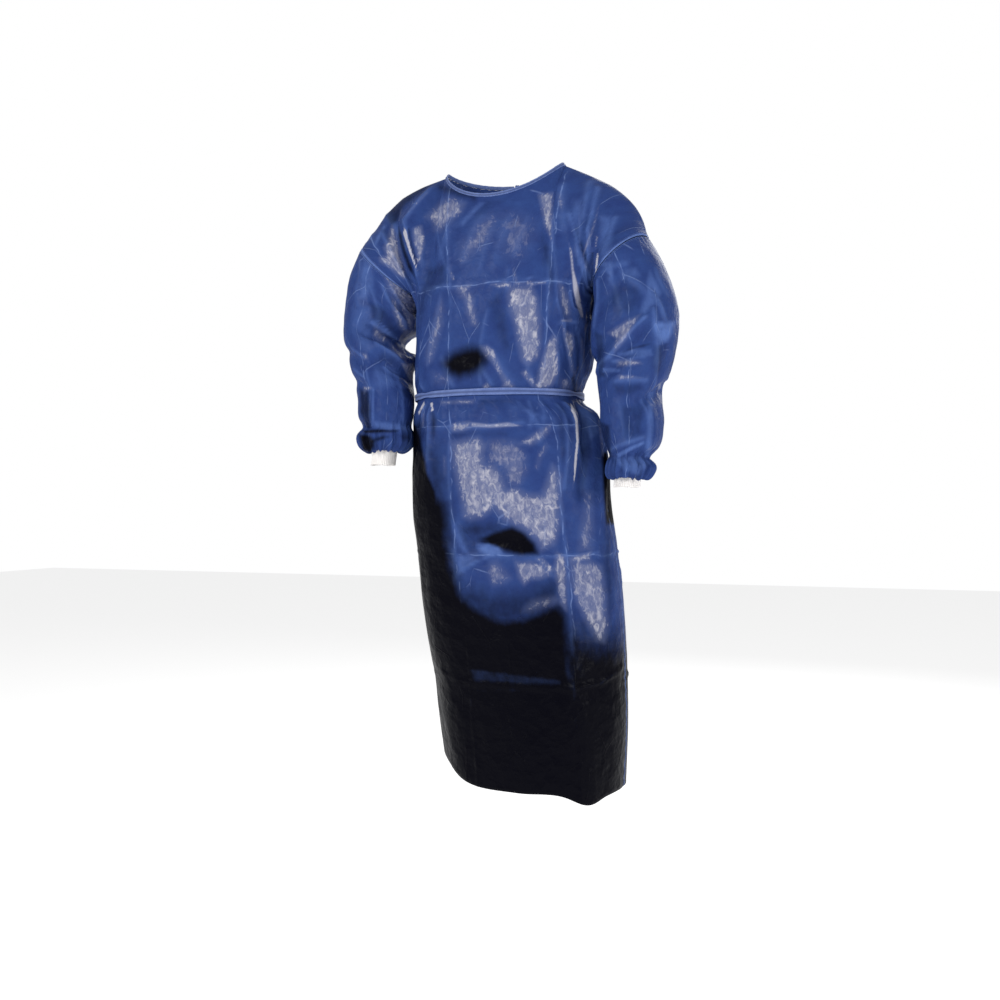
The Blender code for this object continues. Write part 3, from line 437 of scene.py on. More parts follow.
# Fine creases on the sleeves, as angle in degrees and distance along
SleeveCrease = namedtuple("SleeveCrease", "from_angle from_along to_angle to_along width depth")
RIGHT_CREASES = rows(SleeveCrease, (DEGREE, MM, DEGREE, MM, MM, MM),
    (106, 130, 152, 141, 4, 2.8),
    (152, 141, 196, 158, 4, 2.4),
    (100, 140, 150, 166, 5, -2.6),
    (112, 176, 160, 206, 4, 2.6),
    (104, 196, 150, 222, 5, -2),
    (125, 216, 176, 244, 4, 2.6),
    (112, 30, 150, 120, 5, 2.4),
    (126, 20, 176, 105, 5, 2.6),
    (96, 60, 110, 122, 6, 1.8),
    (60, 20, 74, 110, 7, 1.4),
    (64, 192, 84, 204, 3, 2.2),
    (60, 210, 82, 222, 3, -2.4),
    (58, 226, 80, 238, 3, 2.2),
    (58, 246, 78, 262, 3, -2),
    (91, 223, 81, 330, 3, 1.8),
    (150, 240, 158, 320, 6, 1.4),
    (206, 20, 230, 120, 5, 2.4),
    (240, 30, 262, 130, 6, 2.2),
    (210, 142, 284, 168, 4, 2.6),
    (220, 178, 290, 205, 4, 2.6),
    (216, 160, 280, 188, 5, -2.2),
    (228, 216, 290, 240, 4, 2),
    (300, 190, 340, 215, 4, 2),
    (270, 240, 262, 330, 4, 1.8),
)
LEFT_CREASES = rows(SleeveCrease, (DEGREE, MM, DEGREE, MM, MM, MM),
    (66, 158, 110, 214, 4, 3),
    (56, 172, 100, 232, 4, -2.6),
    (64, 228, 106, 226, 4, 2.2),
    (60, 246, 104, 248, 4, -2),
    (54, 266, 102, 262, 4, 2.2),
    (110, 214, 150, 232, 5, 2),
    (74, 40, 108, 22, 7, 1.8),
    (80, 60, 50, 130, 6, 2),
    (104, 50, 92, 130, 6, 1.8),
    (128, 30, 140, 130, 6, 2.2),
    (47, 120, 30, 190, 5, 2.8),
    (54, 145, 46, 237, 4, 3),
    (46, 237, 26, 297, 4, 2.4),
    (10, 276, 40, 290, 4, -3),
    (53, 300, 44, 385, 4, 2.2),
    (136, 396, 60, 372, 5, 2.2),
    (96, 300, 92, 370, 8, 1),
    (206, 30, 228, 140, 5, 2.6),
    (244, 40, 262, 160, 6, 2.2),
    (214, 196, 286, 226, 4, 2.8),
    (222, 236, 292, 262, 4, 2.4),
    (216, 216, 284, 244, 5, -2.2),
    (230, 282, 290, 304, 4, 2),
    (300, 230, 342, 262, 4, 2.2),
    (268, 300, 262, 390, 4, 1.8),
)

# Patches on the sides that the camera sees, placed by their outlines in its 1000 by 1000 picture.
# Soft is how far the patch takes to fade, in the same pixels of about 2 mm.
Patch = namedtuple("Patch", "strength soft outline")
# Whitish places: painted highlights, the film's mottled sheen where flat panels face the light
BODY_HIGHLIGHTS = patches(
    (0.62, 5, (424, 217, 431, 211, 441, 201, 452, 197, 466, 203, 462, 212, 450, 223, 440, 232, 434, 231,
        432, 222)),
    (0.85, 2.4, (412, 229, 417, 226, 422, 225, 424, 235, 425, 243, 423, 251, 420, 263, 418, 263, 416, 252,
        413, 240)),
    (1, 0.9, (403, 229, 405, 226, 406, 229, 411, 248, 418, 271, 417, 273, 409, 252, 403, 234)),
    (0.85, 3, (392, 225, 395, 230, 398, 242, 401, 254, 404, 266, 406, 277, 404, 279, 397, 275, 389, 268,
        380, 262, 379, 257, 386, 255, 383, 248, 387, 240, 389, 232)),
    (0.6, 1.8, (399, 219, 401, 210, 402, 209, 401, 215, 399, 221)),
    (0.75, 1.4, (407, 213, 414, 205, 422, 196, 429, 190, 428, 193, 420, 201, 412, 210)),
    (0.34, 8, (459, 262, 459, 243, 468, 236, 478, 222, 492, 212, 498, 222, 491, 240, 480, 250, 472, 256,
        464, 263)),
    (0.2, 12, (497, 212, 520, 212, 538, 222, 536, 240, 520, 262, 500, 258)),
    (0.75, 2.4, (537, 193, 553, 192, 553, 205, 552, 236, 553, 244, 549, 236, 544, 225, 541, 210)),
    (0.35, 3, (557, 193, 562, 193, 564, 203, 562, 212, 558, 204)),
    (0.85, 1.8, (455, 286, 463, 285, 472, 284, 470, 288, 460, 290)),
    (0.85, 1.8, (489, 284, 500, 283, 512, 282, 510, 287, 498, 288)),
    (0.6, 1.6, (514, 282, 530, 281, 547, 281, 546, 284, 530, 285, 514, 285)),
    (0.75, 1.8, (512, 264, 515, 270, 518, 283, 515, 283, 513, 274)),
    (0.85, 1.6, (449, 269, 452, 272, 455, 281, 452, 280, 450, 275)),
    (0.82, 5, (509, 286, 532, 285, 538, 298, 541, 320, 541, 345, 538, 358, 528, 366, 521, 360, 517, 342,
        514, 325, 509, 311, 507, 296)),
    (0.78, 3.2, (553, 334, 558, 338, 558, 375, 553, 385, 546, 389, 535, 389, 537, 375, 541, 360, 546, 345)),
    (0.75, 2.6, (520, 372, 526, 370, 532, 377, 536, 384, 533, 388, 528, 382)),
    (0.7, 3, (480, 346, 487, 345, 494, 350, 498, 360, 503, 372, 509, 380, 515, 386, 512, 389, 501, 388,
        503, 383, 498, 373, 492, 363, 485, 356)),
    (0.75, 2, (482, 386, 487, 382, 495, 391, 485, 391)),
    (0.6, 4, (456, 289, 466, 289, 473, 296, 476, 318, 478, 327, 472, 325, 466, 313, 464, 300)),
    (0.6, 5, (441, 300, 443, 306, 442, 325, 437, 345, 432, 361, 427, 364, 426, 354, 429, 340, 433, 325,
        437, 308)),
    (0.3, 6, (432, 372, 447, 374, 452, 381, 445, 386, 434, 383)),
    (0.95, 2, (569, 244, 572, 250, 574, 270, 578, 285, 581, 300, 584, 318, 581, 318, 576, 304, 573, 290,
        571, 266)),
    (0.9, 2, (599, 204, 597, 216, 594, 229, 588, 245, 583, 256, 586, 243, 592, 228, 597, 212)),
    (0.95, 1.6, (596, 236, 598, 237, 596, 249, 595, 246)),
    (1, 0.8, (597, 252, 599, 254, 597, 272, 596, 290, 595, 286, 595, 268, 596, 257)),
    (0.5, 2, (583, 257, 586, 262, 588, 273, 585, 270)),
    (0.62, 3.2, (558, 281, 565, 287, 569, 299, 571, 315, 565, 318, 561, 306, 559, 293)),
    (0.9, 1.6, (561, 319, 572, 319, 572, 322, 561, 322)),
    (0.82, 2.2, (562, 325, 567, 331, 573, 334, 574, 345, 572, 358, 574, 369, 576, 373, 575, 378, 571, 370,
        568, 355, 564, 340)),
    (0.95, 1.6, (555, 356, 558, 356, 558, 375, 556, 377)),
    (0.4, 4, (559, 378, 571, 380, 572, 391, 560, 391)),
    (0.6, 2, (440, 401, 458, 400, 474, 400, 472, 404, 456, 404, 441, 405)),
    (1, 0.8, (430, 403, 433, 402, 434, 411, 431, 413)),
    (1, 0.8, (424, 401, 425, 404, 419, 415, 417, 414)),
    (0.85, 1.6, (422, 412, 424, 412, 424, 426, 422, 427)),
    # The skirt
    (0.85, 3, (450, 426, 456, 423, 470, 421, 471, 428, 463, 431, 453, 432)),
    (0.9, 1.8, (470, 422, 490, 424, 508, 422, 523, 426, 508, 427, 490, 428, 471, 427)),
    (0.84, 6, (451, 443, 464, 439, 478, 437, 487, 445, 484, 454, 486, 464, 495, 464, 502, 474, 507, 488,
        517, 487, 527, 493, 541, 494, 546, 482, 552, 464, 558, 470, 561, 476, 560, 500, 560, 528, 555, 545,
        541, 551, 536, 541, 526, 532, 516, 526, 504, 521, 494, 509, 482, 518, 470, 520, 463, 517, 461, 500,
        456, 480, 452, 460)),
    (0.38, 6, (487, 440, 516, 440, 527, 455, 528, 472, 520, 488, 508, 486, 503, 472, 488, 460)),
    (0.6, 3.6, (517, 444, 528, 437, 540, 429, 551, 424, 549, 433, 541, 441, 531, 446)),
    (0.4, 4, (545, 443, 549, 446, 542, 458, 538, 470, 535, 468, 538, 454)),
    (1, 0.8, (570, 402, 574, 408, 578, 419, 579, 440, 577, 462, 575, 480, 573, 488, 574, 462, 576, 440,
        575, 420, 571, 411)),
    (0.8, 1.6, (598, 419, 600, 420, 603, 440, 604, 457, 602, 456, 600, 438)),
    (0.45, 2.4, (443, 455, 446, 456, 446, 476, 444, 476)),
    (0.4, 6, (583, 490, 592, 492, 594, 530, 592, 551, 578, 552, 580, 526, 584, 510)),
    (0.85, 2.4, (568, 558, 580, 554, 592, 551, 590, 559, 580, 563, 570, 563)),
    (0.68, 5.2, (570, 563, 590, 560, 602, 566, 606, 590, 608, 625, 605, 643, 597, 641, 588, 626, 577, 604,
        571, 585)),
    (0.66, 3.2, (556, 551, 566, 556, 567, 575, 567, 612, 560, 604, 557, 585, 553, 570)),
    (0.72, 3.6, (514, 560, 522, 562, 530, 560, 545, 566, 553, 575, 540, 580, 531, 580, 524, 586, 518, 578)),
    (0.5, 6, (487, 572, 490, 562, 497, 560, 503, 568, 512, 578, 505, 583, 493, 586)),
    (0.42, 6, (522, 611, 532, 600, 545, 597, 558, 596, 561, 602, 548, 606, 530, 612)),
    (0.85, 2.5, (535, 557, 543, 558, 556, 571, 550, 573, 541, 565)),
)
# Nearly black places: painted shade, where the cloth lies in shadow and dark shows through the film
BODY_SHADE = patches(
    (1, 9, (443, 364, 450, 355, 460, 350, 471, 347, 480, 348, 487, 354, 487, 362, 480, 370, 470, 375,
        458, 377, 448, 373)),
    (1, 5, (477, 540, 495, 531, 512, 527, 525, 533, 535, 544, 538, 554, 520, 555, 500, 550, 485, 545)),
    (0.5, 8, (455, 523, 475, 520, 500, 522, 505, 532, 480, 540, 462, 538)),
    (1, 12, (380, 424, 421, 424, 420, 445, 423, 472, 433, 493, 447, 503, 449, 520, 450, 545, 454, 566,
        462, 592, 475, 604, 490, 614, 506, 618, 522, 616, 540, 610, 553, 603, 563, 605, 569, 618, 571, 645,
        577, 690, 600, 708, 660, 708, 660, 840, 380, 840)),
    (0.95, 36, (540, 618, 575, 626, 600, 632, 660, 640, 660, 880, 540, 880)),
    (1, 3.5, (400, 424, 416, 424, 421, 437, 424, 455, 428, 474, 436, 492, 440, 530, 400, 530)),
    (0.5, 12, (420, 436, 440, 446, 450, 480, 454, 520, 460, 570, 436, 540, 424, 500)),
    (0.35, 9, (446, 522, 478, 524, 486, 548, 470, 566, 452, 556)),
    (0.4, 6, (604, 500, 612, 520, 616, 580, 614, 640, 606, 640, 600, 560)),
    (0.56, 14, (448, 572, 470, 584, 500, 590, 530, 586, 562, 572, 568, 625, 480, 630, 452, 600)),
    (0.35, 10, (424, 425, 446, 440, 450, 500, 430, 500)),
    (0.55, 5, (438, 183, 458, 187, 478, 195, 476, 202, 455, 197, 438, 190)),
    (0.55, 3, (384, 216, 398, 198, 420, 184, 438, 180, 430, 187, 406, 206, 398, 222, 391, 228)),
    (0.7, 1.5, (398, 224, 402, 234, 406, 250, 413, 270, 415, 278, 408, 269, 402, 252, 398, 236)),
    (0.55, 1.2, (407, 229, 410, 228, 412, 242, 418, 264, 416, 266, 410, 250)),
    (0.5, 2.5, (574, 335, 579, 334, 580, 350, 580, 372, 577, 375, 575, 357)),
    (0.6, 2.5, (571, 377, 575, 375, 577, 385, 576, 396, 573, 396)),
    (0.6, 2.5, (568, 404, 571, 404, 575, 414, 573, 416)),
    (0.55, 3, (430, 412, 434, 412, 437, 421, 435, 440, 431, 440)),
    (0.5, 2, (578, 240, 582, 240, 592, 272, 590, 284, 584, 268)),
    (0.6, 1.2, (591, 252, 594, 252, 593, 290, 591, 292)),
    (0.38, 5, (426, 268, 446, 262, 448, 282, 430, 296, 424, 320, 418, 330, 416, 300)),
    (0.34, 5, (541, 232, 552, 246, 556, 272, 552, 300, 546, 272, 538, 250)),
    (0.34, 6, (486, 300, 503, 290, 508, 320, 514, 350, 504, 356, 494, 335)),
    (0.36, 5, (480, 397, 508, 396, 528, 402, 500, 406, 478, 408)),
    (0.34, 4, (448, 432, 486, 431, 512, 431, 508, 436, 470, 436, 450, 441)),
    (0.34, 5, (556, 405, 566, 405, 569, 440, 567, 470, 560, 462, 556, 430)),
    (0.98, 2.5, (602, 452, 607, 452, 612, 470, 618, 524, 606, 524, 603, 484)),
    (0.3, 5, (470, 208, 486, 196, 505, 200, 490, 210, 476, 224)),
    (0.45, 2, (590, 292, 594, 292, 592, 340, 588, 342)),
)
# Lighter blue facets, where a fold or a second layer turns the film to the light
BODY_GLEAM = patches(
    (0.42, 2.5, (468, 668, 480, 669, 505, 672, 530, 676, 562, 679, 563, 686, 530, 686, 500, 683, 472, 682)),
    (0.24, 2, (474, 688, 500, 687, 520, 688, 531, 692, 505, 694, 476, 693)),
    (0.75, 2.5, (477, 546, 488, 543, 499, 547, 503, 555, 490, 557, 480, 551)),
    (0.18, 1.4, (460, 600, 462, 600, 466, 659, 470, 682, 476, 732, 482, 785, 479, 785, 473, 732, 467, 682,
        463, 659)),
    (0.16, 1.4, (570, 634, 572, 634, 576, 688, 580, 747, 582, 805, 579, 805, 576, 747, 572, 688)),
    (0.2, 1.4, (580, 688, 601, 681, 620, 669, 620, 672, 601, 685, 580, 691)),
    (0.14, 3, (571, 640, 576, 655, 586, 665, 588, 678, 574, 682, 564, 676, 566, 660)),
    (0.45, 1.8, (460, 223, 470, 212, 480, 203, 484, 203, 474, 213, 463, 225)),
    (0.35, 3, (573, 200, 582, 200, 583, 238, 577, 242, 572, 225)),
    (0.45, 3, (601, 217, 611, 217, 612, 240, 608, 264, 600, 264)),
    (0.5, 1.6, (574, 246, 578, 246, 590, 275, 594, 289, 590, 292, 585, 282)),
    (0.45, 1.6, (575, 326, 581, 324, 583, 345, 584, 370, 584, 385, 581, 390, 580, 370, 580, 350)),
    (0.45, 2, (576, 404, 584, 404, 596, 418, 599, 432, 590, 440, 582, 425)),
    (0.35, 2.5, (579, 425, 586, 425, 588, 460, 586, 490, 581, 490)),
    (0.6, 1.4, (374, 243, 377, 236, 384, 225, 386, 226, 381, 236, 376, 245)),
    (0.4, 2, (452, 522, 456, 524, 466, 548, 470, 555, 462, 552, 456, 540)),
    (0.4, 2, (456, 554, 474, 556, 470, 566, 458, 572)),
)
# The wearer's right sleeve
# Painted highlights on the right sleeve
RIGHT_HIGHLIGHTS = patches(
    (0.55, 3.6, (384, 276, 392, 279, 402, 284, 412, 290, 418, 293, 420, 300, 417, 318, 413, 336, 407, 328,
        402, 314, 396, 300, 388, 290)),
    (0.72, 3, (391, 296, 396, 300, 402, 316, 408, 332, 406, 336, 399, 328, 393, 312)),
    (0.95, 2, (415, 293, 421, 292, 420, 310, 415, 332, 414, 326, 417, 308)),
    (0.62, 3.2, (374, 325, 380, 330, 387, 336, 388, 341, 383, 343, 377, 341, 373, 335)),
    (0.7, 2.2, (388, 342, 394, 345, 401, 351, 408, 359, 404, 359, 397, 355, 391, 350)),
    (0.9, 2, (401, 363, 414, 363, 414, 384, 409, 380, 405, 372)),
    (0.7, 2, (362, 353, 367, 354, 368, 359, 364, 360)),
    (0.75, 1.8, (363, 386, 372, 387, 371, 389, 366, 391, 364, 394)),
)
# Painted shade on the right sleeve
RIGHT_SHADE = patches(
    (0.36, 5, (386, 244, 396, 262, 392, 280, 380, 268, 374, 252)),
    (0.4, 4, (366, 302, 384, 306, 394, 322, 398, 336, 384, 330, 370, 320)),
    (0.34, 5, (382, 350, 396, 356, 400, 368, 386, 366, 374, 362)),
    (0.62, 3, (359, 388, 370, 391, 372, 430, 366, 430, 359, 412)),
    (0.85, 3, (358, 434, 368, 434, 376, 440, 374, 448, 370, 455, 362, 450)),
    (0.75, 1.8, (362, 430, 374, 429, 392, 429, 404, 428, 398, 432, 378, 433, 364, 434)),
    (0.6, 2, (372, 438, 384, 435, 390, 437, 380, 441, 372, 443)),
    (0.5, 3, (396, 433, 410, 434, 413, 441, 402, 441)),
    (0.45, 2, (398, 388, 412, 388, 414, 406, 404, 396)),
)
RIGHT_GLEAM = patches(
    (0.45, 3, (365, 258, 370, 262, 372, 285, 368, 300, 360, 298, 360, 275)),
    (0.3, 4, (353, 308, 370, 308, 370, 350, 360, 345, 354, 330)),
    (0.3, 4, (375, 368, 392, 372, 396, 384, 380, 388, 374, 385)),
    (0.45, 1.8, (373, 421, 395, 424, 411, 427, 410, 431, 390, 430, 374, 427)),
    (0.55, 1, (378, 320, 383, 325, 395, 338, 411, 356, 409, 356, 392, 339)),
    (0.4, 1.2, (386, 366, 398, 374, 408, 384, 406, 385, 394, 376)),
    (0.45, 1, (372, 388, 374, 388, 374, 426, 372, 426)),
)
# The wearer's left sleeve
# Painted highlights on the left sleeve
LEFT_HIGHLIGHTS = patches(
    (0.62, 2.6, (641, 314, 637, 319, 632, 330, 627, 339, 620, 347, 614, 353, 613, 347, 616, 339, 607, 333,
        616, 327, 629, 319)),
    (0.62, 2.2, (616, 360, 628, 359, 640, 361, 643, 364, 630, 366, 617, 367)),
    (0.6, 2.2, (618, 375, 630, 375, 643, 378, 632, 379, 619, 380)),
    (0.9, 1.6, (658, 384, 661, 383, 661, 388, 658, 391)),
)
# Painted shade on the left sleeve
LEFT_SHADE = patches(
    (0.34, 6, (612, 282, 640, 284, 646, 298, 634, 314, 616, 318, 606, 300)),
    (0.38, 5, (652, 344, 668, 342, 664, 372, 655, 380, 650, 366)),
    (0.36, 4, (613, 384, 640, 382, 646, 390, 630, 396, 614, 394)),
    (0.45, 2.5, (594, 330, 604, 335, 606, 378, 598, 378)),
    (0.55, 2.5, (598, 420, 610, 425, 613, 458, 604, 462)),
    (0.35, 4, (620, 405, 646, 405, 642, 436, 622, 440)),
    (0.5, 1.2, (620, 352, 636, 346, 650, 343, 650, 345, 636, 349, 622, 355)),
)
LEFT_GLEAM = patches(
    (0.85, 2.5, (653, 323, 664, 322, 675, 322, 672, 332, 667, 341, 660, 343, 655, 336)),
    (0.5, 2.5, (650, 271, 661, 292, 655, 303, 645, 313, 641, 312, 645, 297, 648, 280)),
    (0.4, 2, (655, 268, 662, 280, 669, 296, 664, 292, 656, 278)),
    (0.5, 1.8, (601, 263, 612, 262, 613, 280, 606, 272)),
    (0.45, 1.5, (648, 392, 653, 392, 653, 430, 650, 457, 645, 457, 647, 430)),
    (0.6, 1, (617, 454, 630, 447, 644, 441, 644, 444, 630, 451, 618, 458)),
    (0.45, 1, (603, 368, 620, 369, 620, 372, 603, 372)),
    (0.45, 1.8, (617, 353, 635, 349, 651, 350, 652, 355, 640, 357, 619, 356)),
    (0.45, 1.6, (614, 458, 640, 457, 650, 462, 640, 475, 625, 471)),
    (0.35, 2.5, (619, 270, 636, 268, 640, 276, 622, 279)),
)

# Painted highlights, shade and gleams like these on the sides that the camera doesn't see. They lie on the
# flat cloth, in steps of 2 mm round from the centre front and down from the shoulder line.
BACK_HIGHLIGHTS = patches(
    (0.8, 4, (168, 48, 176, 60, 178, 85, 172, 100, 168, 92, 171, 72, 165, 55)),
    (0.62, 6, (205, 55, 214, 50, 224, 58, 220, 75, 210, 95, 200, 108, 196, 100, 203, 80)),
    (0.8, 2.5, (190, 121, 214, 120, 222, 122, 214, 126, 192, 125)),
    (0.7, 2.5, (232, 121, 248, 120, 250, 124, 236, 125)),
    (0.72, 5, (198, 140, 206, 138, 204, 160, 196, 185, 188, 204, 184, 198, 190, 175)),
    (0.8, 6, (228, 135, 238, 132, 246, 150, 248, 175, 243, 196, 234, 200, 230, 180, 226, 155)),
    (0.6, 3, (214, 190, 220, 186, 224, 200, 217, 204)),
    (0.72, 3, (186, 262, 212, 259, 236, 262, 232, 268, 200, 268)),
    (0.85, 7, (176, 282, 198, 278, 206, 290, 204, 305, 214, 318, 230, 322, 246, 312, 252, 330, 246, 352,
        228, 366, 206, 368, 188, 356, 178, 330, 173, 300)),
    (0.5, 5, (150, 300, 158, 296, 160, 330, 156, 362, 150, 350)),
    (0.7, 6, (186, 396, 204, 390, 216, 398, 214, 420, 204, 438, 190, 430, 184, 412)),
    (0.55, 5, (232, 392, 244, 390, 246, 402, 236, 408)),
    (0.8, 4, (-166, 52, -174, 64, -173, 90, -166, 104, -163, 88, -167, 70)),
    (0.62, 6, (-200, 58, -212, 54, -220, 66, -214, 88, -204, 102, -196, 92, -198, 74)),
    (0.8, 2.5, (-186, 121, -206, 119, -218, 122, -204, 126, -188, 125)),
    (0.7, 5, (-196, 138, -204, 144, -202, 168, -194, 196, -188, 190, -192, 160)),
    (0.74, 6, (-224, 150, -236, 140, -244, 158, -240, 185, -230, 198, -222, 180)),
    (0.7, 3, (-180, 262, -200, 259, -226, 263, -204, 268)),
    (0.82, 7, (-178, 290, -196, 280, -216, 284, -232, 298, -244, 318, -238, 340, -220, 352, -204, 344,
        -196, 356, -182, 346, -174, 320)),
    (0.6, 5, (-206, 372, -222, 368, -232, 378, -222, 388, -208, 386)),
    (0.65, 5, (-182, 392, -198, 388, -204, 404, -198, 424, -186, 418)),
)
BACK_SHADE = patches(
    (1, 8, (194, 186, 208, 181, 220, 183, 227, 190, 217, 197, 201, 197)),
    (0.95, 9, (-204, 358, -222, 353, -238, 356, -245, 364, -229, 371, -209, 369)),
    (0.6, 4, (194, 58, 198, 60, 195, 100, 190, 120, 186, 118, 190, 92)),
    (0.6, 4, (-192, 60, -196, 66, -192, 104, -186, 122, -183, 114, -188, 88)),
    (0.45, 12, (170, 400, 240, 405, 250, 440, 170, 440)),
    (0.45, 12, (-160, 392, -230, 400, -250, 440, -160, 440)),
)
BACK_GLEAM = patches(
    (0.4, 2.5, (160, 492, 200, 494, 232, 498, 232, 502, 196, 500, 160, 498)),
    (0.35, 2.5, (-165, 492, -205, 490, -222, 494, -205, 498, -165, 498)),
    (0.35, 4, (150, 130, 156, 128, 158, 200, 152, 205)),
    (0.35, 4, (-150, 140, -157, 136, -156, 210, -150, 206)),
    (0.4, 3, (252, 130, 258, 128, 256, 200, 250, 204)),
    (0.3, 5, (200, 374, 236, 374, 230, 386, 204, 386)),
)
SLEEVE_HIDDEN_HIGHLIGHTS = patches(
    (0.75, 4, (160, 26, 170, 24, 178, 40, 184, 64, 180, 70, 170, 56, 162, 40)),
    (0.7, 3, (172, 92, 188, 88, 204, 96, 206, 101, 190, 99, 174, 98)),
    (0.6, 4, (178, 124, 186, 122, 190, 146, 184, 152, 178, 140)),
    (0.65, 3, (196, 126, 212, 122, 222, 126, 206, 131)),
)
SLEEVE_HIDDEN_SHADE = patches(
    (0.45, 6, (150, 96, 168, 92, 172, 120, 160, 140, 150, 126)),
)
SLEEVE_HIDDEN_GLEAM = patches(
    (0.45, 4, (206, 40, 216, 44, 218, 76, 208, 80)),
    (0.45, 3, (190, 160, 214, 156, 222, 162, 200, 167)),
)

# The height below which the skirt is painted dark as painted shade, on the sides that the camera doesn't see
DarkEdge = namedtuple("DarkEdge", "around height depth")
DARK_EDGE = rows(DarkEdge, (1, MM, MM),
    (-2, -900, 90),
    (-1.6, -860, 90),
    (-1.2, -640, 80),
    (-0.9, -520, 60),
    (-0.62, -560, 60),
    (-0.48, -640, 60),
    (-0.36, -790, 60),
    (-0.22, -835, 60),
    (0, -872, 40),
    (0.37, -868, 40),
    (0.5, -910, 60),
    (0.63, -940, 70),
    (0.87, -935, 80),
    (1.22, -925, 90),
    (1.6, -900, 90),
    (2, -900, 90),
)


def linear(code):
    """A colour that is given as an sRGB hex value, as linear red, green and blue."""
    channels = [int(code[i : i + 2], 16) / 255 for i in (1, 3, 5)]
    return tuple(c / 12.92 if c <= 0.04045 else ((c + 0.055) / 1.055) ** 2.4 for c in channels)


# Cloth
CLOTH = 0.0006
PACKET_RIDGE = 0.0013
PACKET_WIDTH = 0.0032
CRUMPLE_SIZE = (0.050, 0.085)
DENT_SIZE = (0.017, 0.026)
WAIST_PLEATS = 76
ROW_PITCH = 0.0062
COLUMN_PITCH = 0.0036
SLEEVE_ROW_PITCH = 0.0026
SLEEVE_COLUMNS = 170
FINE_GATHER, DEEP_GATHER = 0.0022, 0.0016
CREASE_ATTRIBUTE = "crease"
# The marks that the blue cloth reads: painted highlight, its rim, painted shade, painted highlight on ridges
# and gleams, and the distance to a seam
MARKS = ("cloud", "rim", "shade", CREASE_ATTRIBUTE, "seam")
# A table step on the flat cloth, and how far round the form the camera still sees
FLAT_STEP = 0.002
SEEN_LIMIT, SEEN_FADE = 0.05, 0.30
# A ridge as high as a deep crease gets its full painted highlight, and this is how strong that highlight is
DEEP_CREASE, RIDGE_HIGHLIGHT = 0.0026, 0.45
# How much less dark the cloth is where it gleams
BODY_LIFTED, SLEEVE_LIFTED = 0.60, 0.75
# The radius by which a sleeve's creases, and its patterns, are laid out
SLEEVE_CREASE_RADIUS, SLEEVE_RADIUS = 0.075, 0.085
# How far a sleeve's hidden patches are shifted, round and along, so that the two sleeves differ
SLEEVE_SHIFT = (0.014, 0.012)
BODY_SEED, SLEEVE_SEED = 1.37, 20.0
# How far from a seam, in millimetres, the cloth still knows its distance to it
SEAM_REACH = 20.0

# Knitted cuffs: a real rib is about 2.8 mm wide
CUFF_WALL = 0.0018
CUFF_COLUMNS = 264
CUFF_ROWS = 26

# Thread: 3 mm stitches with 1 mm between them
STITCH_LIFT = 0.0003
THREAD_RADIUS = 0.00028

# Folded strips: the points round a section, and the groove's share of the half thickness
STRIP_SIDES = 20
GROOVE_DEPTH = 0.55
# Where the belt is pinched narrower: around, by what share, and how far it spreads
BELT_PINCHES = ((0.83, 0.42, 0.07), (-0.47, 0.25, 0.05))
# A knot's strip: half its width as a share of the knot's least half size, and how flat it is
KNOT_STRIP, KNOT_STRIP_FLAT = 0.62, 0.62
KNOT_SIDES, KNOT_STEPS = 14, 180

# Camera at the photo's angle, level and 20 degrees to the wearer's left of the front
CAMERA_PLACE = (0.7763, -2.1650, -0.656)
CAMERA_AHEAD = (-0.3420, 0.9397, 0.0)
CAMERA_LENS = 41.4

# Lamps: the place, what it points at, its side, and its power as a share of the key's
LAMPS = (
    ("key", (-1.5, -2.7, 0.9), (0.0, 0.0, -0.5), 0.9, 1.0),
    ("fill", (2.9, -1.3, 0.1), (0.0, 0.0, -0.4), 1.1, 0.78),
    ("back", (0.4, 2.6, 0.9), (0.0, 0.0, -0.5), 1.8, 0.55),
)
FLOOR_HALF = 9.0


def ramp(value, start, end):
    """0 before start, 1 after end, and a smooth rise between them."""
    share = np.clip((value - start) / (end - start), 0.0, 1.0)
    return share * share * (3.0 - 2.0 * share)


def through(rows, key, column, at):
    """A smooth curve through one column of a table, read at a value of its key column."""
    keys = np.array([getattr(row, key) for row in rows])
    values = np.array([getattr(row, column) for row in rows])
    slopes = np.gradient(values, keys)
    at = np.clip(at, keys[0], keys[-1])
    index = np.clip(np.searchsorted(keys, at, side="right") - 1, 0, len(keys) - 2)
    span = keys[index + 1] - keys[index]
    t = (at - keys[index]) / span
    rise = values[index + 1] - values[index]
    start_bend = slopes[index] * span - rise
    end_bend = rise - slopes[index + 1] * span
    return values[index] + rise * t + t * (1 - t) * ((1 - t) * start_bend + t * end_bend)


def roundness(sine, cosine, squareness):
    """How far a section's point lies out, as a share of an ellipse's, for a squarer section."""
    return (np.abs(sine) ** squareness + np.abs(cosine) ** squareness) ** (-1.0 / squareness)


def wrapped(around):
    """around between -2 and 2, for a lap that passes the centre back."""
    return (around + 2.0) % 4.0 - 2.0


def ring_point(around, height):
    """The body's section at a height, at or below the underarm."""
    angle = around * np.pi / 2
    sine, cosine = np.sin(angle), np.cos(angle)
    reach = roundness(sine, cosine, through(BODY_RINGS, "height", "squareness", height))
    depth = np.where(
        cosine > 0,
        through(BODY_RINGS, "height", "front", height),
        through(BODY_RINGS, "height", "back", height),
    )
    x = through(BODY_RINGS, "height", "centre_x", height)
    x = x + through(BODY_RINGS, "height", "half_width", height) * sine * reach
    y = through(BODY_RINGS, "height", "centre_y", height) - depth * cosine * reach
    return x, y


def neck_point(turn):
    """The neck edge. turn is 0 at the centre front, pi / 2 at the left shoulder, pi at the centre back."""
    sine, cosine = np.sin(turn), np.cos(turn)
    x = NECK_HALF_WIDTH * sine
    y = np.where(cosine > 0, FRONT_NECK_Y, -BACK_NECK_Y) * cosine
    drop = np.where(cosine > 0, FRONT_NECK_DROP, BACK_NECK_DROP)
    return x, y, -drop * np.abs(cosine) ** 1.5


